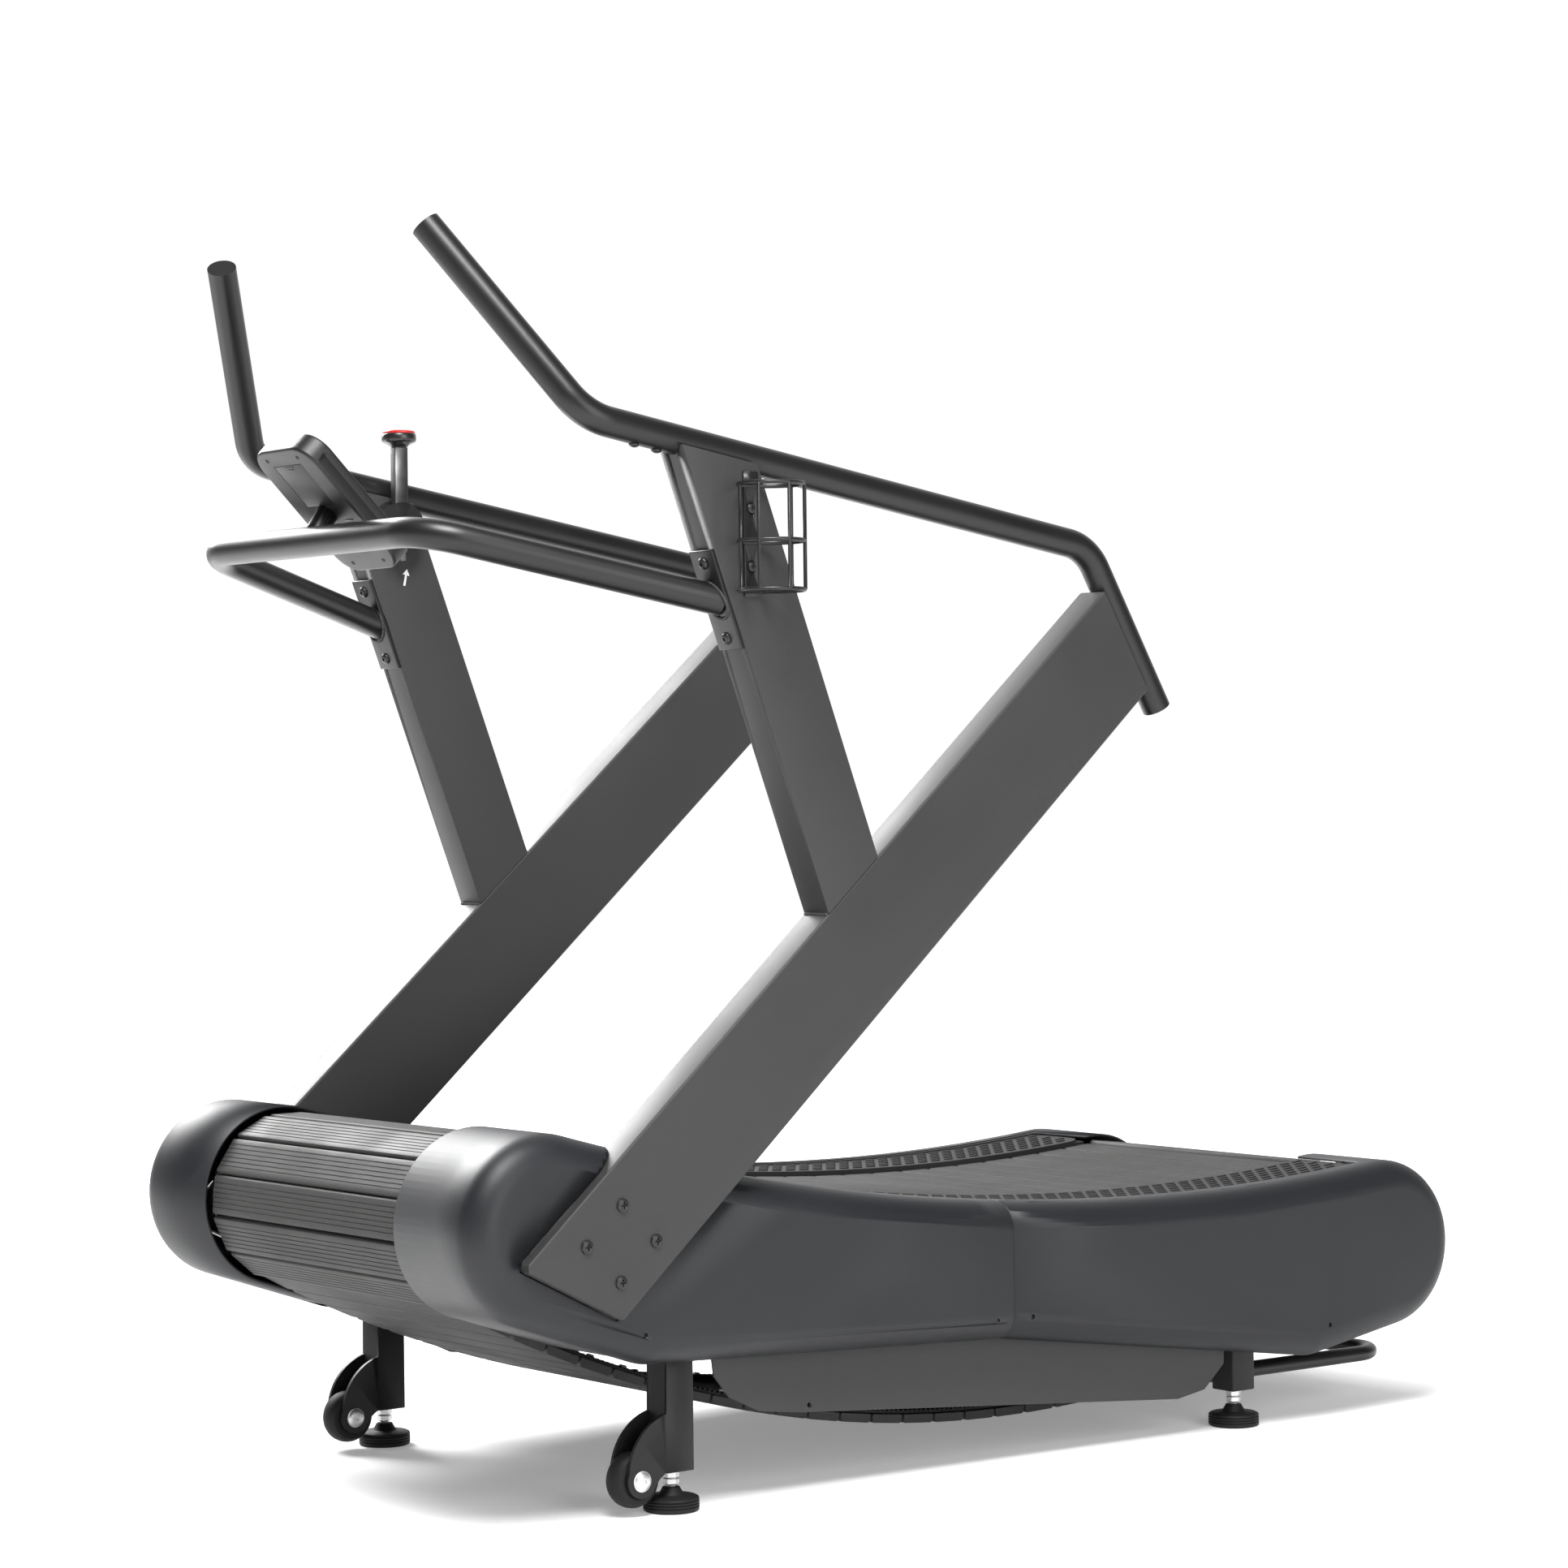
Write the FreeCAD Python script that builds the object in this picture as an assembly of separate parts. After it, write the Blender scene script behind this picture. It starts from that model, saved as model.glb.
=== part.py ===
import FreeCAD, Part
import math
import os

# Curved manual treadmill.  Millimetres, +Z up, floor at z = 0, +X towards the rear of the machine.
# The runner faces -X, so the machine's left side is -Y.  The origin is on the floor, on the
# middle plane, halfway between the front and the rear feet.

V = FreeCAD.Vector
AXIS_Y = V(0, 1, 0)
AXIS_Z = V(0, 0, 1)

# ---- driving dimensions -------------------------------------------------------------------
HALF_WIDTH = 416.0            # middle plane to the outer face of a beam
FRONT_DRUM = (-704.0, 365.0)  # x, z of the front axle
REAR_DRUM = (748.0, 235.0)    # x, z of the rear axle
DRUM_RADIUS = 108.0           # axle to the running surface where the belt goes round
DECK_RADIUS = 3800.0          # the hollow curve of the running surface
SAG_RADIUS = 1950.0           # the hanging curve of the return run
FOOT_X = 486.0                # middle to the front feet, and to the rear feet
FOOT_Y = HALF_WIDTH - 86       # feet under the side rails, inside the cowls
RUNNING_HALF_WIDTH = HALF_WIDTH - 189.0

# belt
SLAT_PITCH = 54.0
SLAT_GAP = 3.0
SLAT_THICKNESS = 12.0
SLAT_HALF_WIDTH = RUNNING_HALF_WIDTH - 5
TOOTHED_BELT_THICKNESS = 6.0
TOOTHED_BELT_WIDTH = 26.0
TOOTHED_BELT_Y = SLAT_HALF_WIDTH - 19
SLAT_BOLT_RADIUS = 4.5
SLAT_BOLT_HEAD = 2.6
GUIDE_BEARING_RADIUS = 17.5
GUIDE_BEARING_BORE = 8.0
GUIDE_BEARING_WIDTH = 12.0
GUIDE_BEARING_Y = SLAT_HALF_WIDTH - 52
GUIDE_BEARING_COUNT = 17
GUIDE_RAIL_THICKNESS = 6.0
GUIDE_RAIL_DEPTH = 40.0
GUIDE_RAIL_DROP = 6.0         # top of the guide rail below the underside of the slats
GUIDE_RAIL_GAP = 2.0          # guide rail to guide bearing, sideways

# frame
BEAM_DEPTH = 150.0
BEAM_WIDTH = 50.0
BEAM_LENGTH = 1252.0
BEAM_FOOT = (-761.0, 327.0)
BEAM_ANGLE = 41.1
BEAM_FOOT_CUT = 26.6          # slope of the lower end cut below the horizontal
BEAM_HEAD_CUT = 59.6          # slope of the upper end cut below the horizontal
BEAM_CHAMFER = 9.0
POST_DEPTH = 100.0
POST_WIDTH = 50.0
POST_FOOT = 620.0             # along the beam's top edge to the post
POST_LEAN = 20.8
TUBE_WALL = 3.0
BAR_RADIUS = 19.0             # handrails, horns and handlebar
RAIL_START = (-507.0, 1321.0)
RAIL_SLOPE = 9.5
RAIL_BEND = 70.0
RAIL_TAIL = 35.0              # rail end beyond the beam's corner
HORN_TIP = (-769.0, HALF_WIDTH - 170, 1578.0)
HORN_LENGTH = 136.0           # along the rail's line, joint to bend
HORN_BEND = 62.0
HORN_BOLT_HEAD = 6.5
HORN_BOLT_REACH = (26.0, 60.0)  # bolts from the joint, along the horn
SPIGOT_LENGTH = 90.0
SIDE_RAIL_HEIGHT = 70.0
SIDE_RAIL_WIDTH = 40.0
SIDE_RAIL_ENDS = ((-669.0, 305.0), (684.0, 220.0))
CROSS_TUBE = 50.0
CROSS_PLACES = ((-486.0, 288.0), (4.0, 252.0), (486.0, 226.0))
LEG_SIZE = 42.0
LEG_BOTTOM = 50.0
AXLE_PLATE_THICKNESS = 8.0
AXLE_RADIUS = 12.5
AXLE_BEARING_RADIUS = 26.0
AXLE_BEARING_WIDTH = 16.0
AXLE_OVERHANG = 6.0

# covers
COWL_OFFSET = 10.0            # cowl's outer surface beyond the running surface
COWL_SIDE_Y = HALF_WIDTH - 15
COWL_RIM_Y = RUNNING_HALF_WIDTH
COWL_WALL = 3.5
COWL_EDGE = 38.0              # rounding between the cowl's side and its rim
COWL_SEAM_X = 21.0
COWL_BOTTOM_FRONT = (-558.0, 191.0)
COWL_BOTTOM_SEAM = 168.0
COWL_BOTTOM_REAR = (591.0, 90.0)
COWL_CORNER = 60.0
COWL_SEAM_GAP = 1.0
GUARD_THICKNESS = 4.0
GUARD_END_GAP = 12.0          # guard's ends to the legs
GUARD_FRONT_CORNER = ((18.0, 163.0), (42.0, 134.0), (90.0, 112.0), (155.0, 104.0))
GUARD_REAR_CORNER = ((95.0, 52.0), (45.0, 60.0), (8.0, 92.0))
LIP_GAP = 3.0                 # cowl's lower lip to the guard plate
CUTOUT_GAP = 1.5              # cowl to beam, and cowl to tread strip
STRIP_OUTER_Y = HALF_WIDTH - 69
STRIP_INNER_Y = RUNNING_HALF_WIDTH + 1
STRIP_ENDS = (-574.0, 721.0)
STRIP_THICKNESS = 12.0
STRIP_RISE = 8.0              # strip's top above the running surface
STRIP_WINDOW = 40.0           # height of the cowl's opening round a strip, above and below the deck

# front end
HANDLEBAR_CORNER = (-788.0, HALF_WIDTH - 161, 1209.0)
HANDLEBAR_BEND = 75.0
FLANGE_LENGTH = 130.0
FLANGE_THICKNESS = 6.0
FLANGE_Z = 1127.0
FLANGE_BOLT_SPACING = 98.0
FLANGE_WIDTH = 46.0
FLANGE_BOLT_RADIUS = 4.0
CONSOLE_CENTER = (-756.0, 0.0, 1259.0)
CONSOLE_SIZE = (206.0, 132.0, 30.0)
CONSOLE_TILT = 45.0
CONSOLE_WALL = 2.5
DOOR_THICKNESS = 1.5
CONSOLE_CORNER = 32.0
STALK_RADIUS = 14.0
LEVER_HUB = (-431.0, 1257.0)
LEVER_LENGTH = 112.0
LEVER_BAR = (20.0, 13.0)
QUADRANT_RADIUS = 39.0
LEVER_PIN = 5.0
QUADRANT_THICKNESS = 6.0
HUB_THICKNESS = 17.0
KNOB_RADIUS = 24.0
KNOB_HEIGHT = 19.0

# small parts
HANDLE_BACK = (822.0, 68.0)
HANDLE_RADIUS = 11.0
HANDLE_BEND = 50.0
WHEEL_RADIUS = 35.0
WHEEL_WIDTH = 30.0
WHEEL_CENTER = (-545.0, 45.0)
WHEEL_BOLT_RADIUS = 5.0
FORK_PLATE = 5.0
FORK_TOP = 124.0              # height where the cheeks leave the leg
WHEEL_SIDE_GAP = 1.0          # wheel to cheek
PAD_RADIUS = 35.0
PAD_HEIGHT = 19.0
PAD_SEAT = 11.0               # stud's lower end above the floor
BOOT_HEIGHT = 11.0
STUD_RADIUS = 6.0
STUD_LENGTH = 57.0
NUT_ACROSS = 18.0
NUT_HEIGHT = 8.0
BRAKE_DISC_RADIUS = 84.0
BRAKE_DISC_THICKNESS = 6.0
BRAKE_DISC_Y = 266.0
CAGE_CENTER = (-412.0, -HALF_WIDTH - 43)
CAGE_RING = 40.0
CAGE_WIRE = 2.8
CAGE_UPRIGHT = 2.4
CAGE_LEVELS = (1136.0, 1196.0, 1266.0)

RUN = 0.05                    # running fit, radial
CLEAR = 0.3                   # between faces that move past each other
SCREW_HEAD = 8.5

SIDES = (("left", -1), ("right", 1))


# ---- geometry helpers -------------------------------------------------------------------
def box(x0, x1, y0, y1, z0, z1):
    return Part.makeBox(x1 - x0, y1 - y0, z1 - z0, V(x0, y0, z0))


def rod_y(x, z, radius, y0, y1):
    return Part.makeCylinder(radius, y1 - y0, V(x, y0, z), AXIS_Y)


def ring_y(x, z, outer, inner, y0, y1):
    return rod_y(x, z, outer, y0, y1).cut(rod_y(x, z, inner, y0, y1))


def rod(start, end, radius):
    way = end - start
    return Part.makeCylinder(radius, way.Length, start, way)


def heading(degrees):
    """Unit direction in the XZ plane, measured upwards from +X."""
    return V(math.cos(math.radians(degrees)), 0, math.sin(math.radians(degrees)))


def point(pair, y=0.0):
    return V(pair[0], y, pair[1])


def plate(points, y0, y1):
    """Flat plate with the given XZ outline between two y values."""
    corners = [V(p.x, y0, p.z) for p in points]
    face = Part.Face(Part.makePolygon(corners + corners[:1]))
    return face.extrude(V(0, y1 - y0, 0))


def meet(p, along, q, across):
    """Crossing of two lines in the XZ plane."""
    det = along.x * across.z - along.z * across.x
    t = ((q.x - p.x) * across.z - (q.z - p.z) * across.x) / det
    return p + along * t


def bent_wire(points, bend):
    """Straight runs through the points, joined by tangent arcs."""
    edges = []
    start = points[0]
    for before, corner, after in zip(points, points[1:], points[2:]):
        back = (before - corner).normalize()
        on = (after - corner).normalize()
        half = back.getAngle(on) / 2
        reach = bend / math.tan(half)
        centre = corner + (back + on).normalize() * (bend / math.sin(half))
        first = corner + back * reach
        last = corner + on * reach
        middle = centre + (corner - centre).normalize() * bend
        edges.append(Part.LineSegment(start, first).toShape())
        edges.append(Part.Arc(first, middle, last).toShape())
        start = last
    edges.append(Part.LineSegment(start, points[-1]).toShape())
    return Part.Wire(edges)


def bent_bar(points, bend, radius):
    path = bent_wire(points, bend)
    circle = Part.Circle(points[0], points[1] - points[0], radius)
    return path.makePipeShell([Part.Wire(circle.toShape())], True, False)


def bent_tube(points, bend, radius, wall):
    return bent_bar(points, bend, radius).cut(bent_bar(points, bend, radius - wall))


def mirrored(shape, side):
    """Shapes are drawn on the -Y side, and reflected for the +Y side."""
    return shape if side < 0 else shape.mirror(V(0, 0, 0), AXIS_Y)


def both(shape):
    return Part.makeCompound([shape, mirrored(shape, 1)])


def save(name, shape):
    shape.exportStep("parts/" + name + ".step")


def screw_y(x, y, z, head_radius, head_height, shank_radius, depth, facing):
    """Button-head screw with its axis along Y; facing is the way its head points."""
    head = Part.makeCylinder(head_radius, head_height, V(x, y, z), AXIS_Y * facing)
    head = head.makeFillet(head_height * 0.6, [head.Edges[0]])
    shank = Part.makeCylinder(shank_radius, depth, V(x, y, z), AXIS_Y * -facing)
    return head.fuse(shank).removeSplitter()


# ---- belt path ----------------------------------------------------------------------------
class BeltPath:
    """Closed path of four tangent arcs: deck, rear drum, return run, front drum."""

    def __init__(self, inset=0.0):
        front, rear = point(FRONT_DRUM), point(REAR_DRUM)
        half = (rear - front).Length / 2
        middle = (front + rear) * 0.5
        along = (rear - front).normalize()
        normal = V(-along.z, 0, along.x)
        deck_reach = DECK_RADIUS + DRUM_RADIUS
        sag_reach = SAG_RADIUS - DRUM_RADIUS
        deck = middle + normal * math.sqrt(deck_reach ** 2 - half ** 2)
        sag = middle + normal * math.sqrt(sag_reach ** 2 - half ** 2)
        drum = DRUM_RADIUS - inset
        self.front_top = front + (deck - front).normalize() * drum
        self.rear_top = rear + (deck - rear).normalize() * drum
        self.rear_bottom = rear + (rear - sag).normalize() * drum
        self.front_bottom = front + (front - sag).normalize() * drum
        self.deck, self.sag = deck, sag
        self.deck_radius = DECK_RADIUS + inset
        self.arcs = (
            (deck, self.deck_radius, self.front_top, self.rear_top, 1),
            (rear, drum, self.rear_top, self.rear_bottom, -1),
            (sag, SAG_RADIUS - inset, self.rear_bottom, self.front_bottom, -1),
            (front, drum, self.front_bottom, self.front_top, -1),
        )

    def spans(self):
        for centre, radius, start, end, turn in self.arcs:
            a0 = math.atan2(start.z - centre.z, start.x - centre.x)
            a1 = math.atan2(end.z - centre.z, end.x - centre.x)
            sweep = ((a1 - a0) * turn) % (2 * math.pi) * turn
            yield centre, radius, a0, sweep, turn

    def length(self):
        return sum(abs(sweep) * radius for _, radius, _, sweep, _ in self.spans())

    def at(self, distance):
        """Point on the path and its heading, in degrees above +X."""
        for centre, radius, a0, sweep, turn in self.spans():
            run = abs(sweep) * radius
            if distance <= run:
                angle = a0 + distance / radius * turn
                place = centre + V(math.cos(angle), 0, math.sin(angle)) * radius
                return place, math.degrees(angle) + 90 * turn
            distance -= run
        return self.front_top, 0.0

    def wire(self):
        edges = []
        for centre, radius, a0, sweep, _ in self.spans():
            points = [a0, a0 + sweep / 2, a0 + sweep]
            ends = [centre + V(math.cos(a), 0, math.sin(a)) * radius for a in points]
            edges.append(Part.Arc(*ends).toShape())
        return Part.Wire(edges)

    def deck_z(self, x):
        return self.deck.z - math.sqrt(self.deck_radius ** 2 - (x - self.deck.x) ** 2)

    def deck_edge(self, x0, x1):
        """Arc of the deck between two x values."""
        ends = [V(x, 0, self.deck_z(x)) for x in (x0, (x0 + x1) / 2, x1)]
        return Part.Arc(*ends).toShape()


SURFACE = BeltPath()


def deck_band(x0, x1, inset0, inset1, y0, y1):
    """Strip that follows the deck between two insets from the running surface."""
    upper = BeltPath(inset0).deck_edge(x0, x1)
    lower = BeltPath(inset1).deck_edge(x0, x1)
    a, b = upper.Vertexes[0].Point, lower.Vertexes[0].Point
    c, d = upper.Vertexes[1].Point, lower.Vertexes[1].Point
    sides = [Part.LineSegment(c, d).toShape(), Part.LineSegment(a, b).toShape()]
    wire = Part.Wire(Part.__sortEdges__([upper, lower] + sides))
    band = Part.Face(wire).extrude(V(0, y1 - y0, 0))
    band.translate(V(0, y0, 0))
    return band


# ---- belt and its running gear ------------------------------------------------------------
def slat_places():
    count = round(SURFACE.length() / SLAT_PITCH)
    step = SURFACE.length() / count
    return [SURFACE.at((i + 0.5) * step) for i in range(count)], step


def put(shape, place, angle):
    """Turn a shape drawn along +X about the Y axis, and move it to its place."""
    shape = shape.copy()
    shape.rotate(V(0, 0, 0), AXIS_Y, -angle)
    shape.translate(place)
    return shape


def belt_slats():
    places, step = slat_places()
    half = (step - SLAT_GAP) / 2
    chamfer = 1.5
    slat = box(-half, half, -SLAT_HALF_WIDTH, SLAT_HALF_WIDTH, -SLAT_THICKNESS, 0)
    long_edges = [e for e in slat.Edges if e.Length > SLAT_HALF_WIDTH and e.CenterOfMass.z > -1]
    slat = slat.makeChamfer(chamfer, long_edges)
    return Part.makeCompound([put(slat, place, angle) for place, angle in places])


def toothed_belts():
    outer = BeltPath(SLAT_THICKNESS + CLEAR).wire()
    inner = BeltPath(SLAT_THICKNESS + TOOTHED_BELT_THICKNESS).wire()
    face = Part.Face(outer).cut(Part.Face(inner))
    band = face.extrude(V(0, TOOTHED_BELT_WIDTH, 0))
    band.translate(V(0, -TOOTHED_BELT_Y - TOOTHED_BELT_WIDTH / 2, 0))
    return both(band)


def slat_bolts():
    places, _ = slat_places()
    top = -(SLAT_THICKNESS + TOOTHED_BELT_THICKNESS) - CLEAR
    heads = []
    for place, angle in places:
        for _, side in SIDES:
            seat = V(0, side * TOOTHED_BELT_Y, top)
            head = Part.makeCylinder(SLAT_BOLT_RADIUS, SLAT_BOLT_HEAD, seat, V(0, 0, -1))
            heads.append(put(head, place, angle))
    return Part.makeCompound(heads)


def drum_pulleys(centre):
    """Two toothed-belt pulleys, grooved where the slat bolts pass."""
    rim = DRUM_RADIUS - SLAT_THICKNESS - TOOTHED_BELT_THICKNESS - CLEAR
    y0 = -TOOTHED_BELT_Y - TOOTHED_BELT_WIDTH / 2 - 2
    y1 = y0 + TOOTHED_BELT_WIDTH + 4
    x, z = centre
    groove = SLAT_BOLT_RADIUS + 1.5
    wheel = ring_y(x, z, rim, AXLE_RADIUS, y0, y1)
    slot = ring_y(x, z, rim + 5, rim - 6, -TOOTHED_BELT_Y - groove, -TOOTHED_BELT_Y + groove)
    wheel = wheel.cut(slot)
    for i in range(6):
        spot = V(x, 0, z) + heading(60 * i) * (rim * 0.58)
        wheel = wheel.cut(rod_y(spot.x, spot.z, rim * 0.18, y0 - 1, y1 + 1))
    return both(wheel)


def axle(centre):
    end = axle_plate_y() + AXLE_BEARING_WIDTH / 2 + AXLE_OVERHANG
    return rod_y(centre[0], centre[1], AXLE_RADIUS, -end, end)


def axle_plate_y():
    """Middle of an axle plate's thickness."""
    return FOOT_Y - SIDE_RAIL_WIDTH / 2 - AXLE_PLATE_THICKNESS / 2


def axle_bearings():
    mid = axle_plate_y()
    rings = []
    for x, z in (FRONT_DRUM, REAR_DRUM):
        ring = ring_y(x, z, AXLE_BEARING_RADIUS, AXLE_RADIUS + RUN,
                      -mid - AXLE_BEARING_WIDTH / 2, -mid + AXLE_BEARING_WIDTH / 2)
        rings += [ring, mirrored(ring, 1)]
    return Part.makeCompound(rings)


def brake_disc():
    y0 = BRAKE_DISC_Y - BRAKE_DISC_THICKNESS / 2
    x, z = FRONT_DRUM
    disc = ring_y(x, z, BRAKE_DISC_RADIUS, AXLE_RADIUS, y0, y0 + BRAKE_DISC_THICKNESS)
    hub = ring_y(x, z, 26, AXLE_RADIUS, y0 - 10, y0)
    return disc.fuse(hub).removeSplitter()


MAGNET_PIVOT = (FRONT_DRUM[0] + 100.0, FRONT_DRUM[1] - 62.0)
MAGNET_GAP = 3.0
MAGNET_CHEEK = 6.0
MAGNET_STUD_RADIUS = 5.0
MAGNET_SWING = 12.0           # way the arm moves towards the axle at its stop


def magnet_yoke():
    """Forked arm whose two magnet cheeks straddle the brake disc's rim."""
    x, z = FRONT_DRUM
    px, pz = MAGNET_PIVOT
    half = BRAKE_DISC_THICKNESS / 2 + MAGNET_GAP
    inner_face, outer_face = BRAKE_DISC_Y - half, BRAKE_DISC_Y + half
    web_start = x + BRAKE_DISC_RADIUS + MAGNET_GAP + MAGNET_SWING
    web_end = web_start + 8
    outline = [V(x + 56, 0, z + 24), V(web_end, 0, z + 24), V(px + 12, 0, pz),
               V(px, 0, pz - 12), V(px - 12, 0, pz), V(x + 56, 0, z - 24)]
    cheeks = plate(outline, inner_face - MAGNET_CHEEK, inner_face)
    cheeks = cheeks.fuse(plate(outline, outer_face, outer_face + MAGNET_CHEEK))
    web = box(web_start, web_end, inner_face, outer_face, z - 24, z + 24)
    yoke = cheeks.fuse(web).removeSplitter()
    bore = rod_y(px, pz, MAGNET_STUD_RADIUS + RUN, inner_face - 20, outer_face + 20)
    return yoke.cut(bore)


def magnet_pivot():
    """Stud welded to the right axle plate, which carries the magnet arm."""
    px, pz = MAGNET_PIVOT
    inner = BRAKE_DISC_Y - BRAKE_DISC_THICKNESS / 2 - MAGNET_GAP - MAGNET_CHEEK - 4
    return rod_y(px, pz, MAGNET_STUD_RADIUS, inner, axle_plate_y() - AXLE_PLATE_THICKNESS / 2)


def guide_places():
    first, last = SURFACE.front_top.x + 60, SURFACE.rear_top.x - 60
    inset = SLAT_THICKNESS + CLEAR + GUIDE_BEARING_RADIUS
    path = BeltPath(inset)
    step = (last - first) / (GUIDE_BEARING_COUNT - 1)
    return [(first + i * step, path.deck_z(first + i * step)) for i in range(GUIDE_BEARING_COUNT)]


def guide_rails():
    y0 = -GUIDE_BEARING_Y + GUIDE_BEARING_WIDTH / 2 + GUIDE_RAIL_GAP
    y1 = y0 + GUIDE_RAIL_THICKNESS
    top = SLAT_THICKNESS + GUIDE_RAIL_DROP
    x0, x1 = SURFACE.front_top.x + 30, SURFACE.rear_top.x - 30
    rail = deck_band(x0, x1, top, top + GUIDE_RAIL_DEPTH, y0, y1)
    for x, z in CROSS_PLACES:
        deck = BeltPath(top + 20).deck_z(x)
        rail = rail.fuse(box(x - 35, x + 35, y0, y1, z + CROSS_TUBE / 2, deck))
    return both(rail.removeSplitter())


def guide_bearings():
    bearings = []
    y0 = -GUIDE_BEARING_Y - GUIDE_BEARING_WIDTH / 2
    for x, z in guide_places():
        ring = ring_y(x, z, GUIDE_BEARING_RADIUS, GUIDE_BEARING_BORE, y0, y0 + GUIDE_BEARING_WIDTH)
        stub = rod_y(x, z, GUIDE_BEARING_BORE, y0 - 3, y0 + GUIDE_BEARING_WIDTH + GUIDE_RAIL_GAP)
        bearings += [ring, stub, mirrored(ring, 1), mirrored(stub, 1)]
    return Part.makeCompound(bearings)


# ---- frame --------------------------------------------------------------------------------
def beam_corners(grow=0.0):
    """Outline of a beam, grown evenly on its long sides and its ends by a clearance."""
    along = heading(BEAM_ANGLE)
    down = heading(BEAM_ANGLE - 90)
    foot, head = heading(-BEAM_FOOT_CUT), heading(-BEAM_HEAD_CUT)
    top = point(BEAM_FOOT) - down * grow
    foot_edge = point(BEAM_FOOT) - heading(90 - BEAM_FOOT_CUT) * grow
    base = point(BEAM_FOOT) + down * (BEAM_DEPTH + grow)
    end = point(BEAM_FOOT) + along * BEAM_LENGTH + heading(90 - BEAM_HEAD_CUT) * grow
    first = meet(top, along, foot_edge, foot)
    start = meet(foot_edge, foot, first + along * BEAM_CHAMFER, heading(BEAM_ANGLE - 130))
    return [first + along * BEAM_CHAMFER, meet(top, along, end, head),
            meet(base, along, end, head), meet(base, along, foot_edge, foot), start]


def hollow_plate(points, inner, y0, y1):
    """Welded rectangular tube: an outline less the same outline drawn in by the wall."""
    return plate(points, y0, y1).cut(plate(inner, y0 + TUBE_WALL, y1 - TUBE_WALL))


def beam():
    y0 = -HALF_WIDTH
    return hollow_plate(beam_corners(), beam_corners(-TUBE_WALL), y0, y0 + BEAM_WIDTH)


def post_outline(wall=0.0):
    along, up = heading(BEAM_ANGLE), heading(90 + POST_LEAN)
    base = point(BEAM_FOOT) + along * POST_FOOT
    base = base + up * wall
    front = base + heading(POST_LEAN) * wall
    rear = base + heading(POST_LEAN) * (POST_DEPTH - wall)
    rail = rail_line()[0] - V(0, 0, 9 + wall)
    slope = heading(-RAIL_SLOPE)
    return [meet(front, up, base, along), meet(rear, up, base, along),
            meet(rear, up, rail, slope), meet(front, up, rail, slope)]


def post():
    y0 = -HALF_WIDTH
    shape = hollow_plate(post_outline(), post_outline(TUBE_WALL), y0, y0 + POST_WIDTH)
    start = rail_line()[0]
    shape = shape.cut(rod(start + heading(180 - RAIL_SLOPE) * POST_DEPTH, start, BAR_RADIUS))
    return shape.cut(top_rail_solid(BAR_RADIUS))


def bar_y():
    """Rails and horns run above the middle of the beams."""
    return -HALF_WIDTH + BEAM_WIDTH / 2


def rail_line():
    """Joint with the horn, corner over the beam's end, and the lower end of the rail."""
    head = point(BEAM_FOOT) + heading(BEAM_ANGLE) * BEAM_LENGTH
    drop = heading(-BEAM_HEAD_CUT)
    beside = head + heading(90 - BEAM_HEAD_CUT) * (BAR_RADIUS + CLEAR)
    start = point(RAIL_START)
    corner = meet(start, heading(-RAIL_SLOPE), beside, drop)
    tail = BEAM_DEPTH / math.sin(math.radians(BEAM_HEAD_CUT + BEAM_ANGLE)) + RAIL_TAIL
    points = [start, corner, beside + drop * tail]
    return [V(p.x, bar_y(), p.z) for p in points]


def top_rail_solid(radius):
    return bent_bar(rail_line(), RAIL_BEND, radius)


def top_rail():
    tube = top_rail_solid(BAR_RADIUS).cut(top_rail_solid(BAR_RADIUS - TUBE_WALL))
    start = rail_line()[0]
    forward = heading(180 - RAIL_SLOPE)
    spigot_radius = BAR_RADIUS - TUBE_WALL
    first, last = start - forward * SPIGOT_LENGTH, start + forward * SPIGOT_LENGTH
    spigot = rod(first, last, spigot_radius).cut(rod(first, last, spigot_radius - TUBE_WALL))
    return tube.fuse(spigot).removeSplitter()


def horn_line():
    start = rail_line()[0]
    bend = start + heading(180 - RAIL_SLOPE) * HORN_LENGTH
    tip = V(HORN_TIP[0], -HORN_TIP[1], HORN_TIP[2])
    return [start, bend, tip]


def horn():
    return bent_tube(horn_line(), HORN_BEND, BAR_RADIUS, TUBE_WALL)


def end_cap(tip, way):
    """Push-in plug with a thin flat flange."""
    flange_thickness, plug_depth = 4.0, 14.0
    rim = rod(tip, tip + way * flange_thickness, BAR_RADIUS)
    plug = rod(tip - way * plug_depth, tip, BAR_RADIUS - TUBE_WALL - CLEAR)
    return rim.fuse(plug).removeSplitter()


def tube_end_caps():
    caps = []
    for line in (horn_line(), rail_line()):
        way = (line[-1] - line[-2]).normalize()
        cap = end_cap(line[-1], way)
        caps += [cap, mirrored(cap, 1)]
    return Part.makeCompound(caps)


def horn_bolt_places():
    start = rail_line()[0]
    forward = heading(180 - RAIL_SLOPE)
    return [start + forward * reach for reach in HORN_BOLT_REACH]


def side_rails():
    front, rear = point(SIDE_RAIL_ENDS[0]), point(SIDE_RAIL_ENDS[1])
    up = (rear - front).cross(V(0, -1, 0)).normalize()
    if up.z < 0:
        up = up * -1
    half = up * (SIDE_RAIL_HEIGHT / 2)
    inner = up * (SIDE_RAIL_HEIGHT / 2 - TUBE_WALL)
    y0 = -FOOT_Y - SIDE_RAIL_WIDTH / 2
    tube = plate([front - half, rear - half, rear + half, front + half], y0, y0 + SIDE_RAIL_WIDTH)
    bore = plate([front - inner, rear - inner, rear + inner, front + inner],
                 y0 + TUBE_WALL, y0 + SIDE_RAIL_WIDTH - TUBE_WALL)
    lug = side_rail_lug()
    return both(tube.cut(bore).fuse(lug).removeSplitter())


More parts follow.
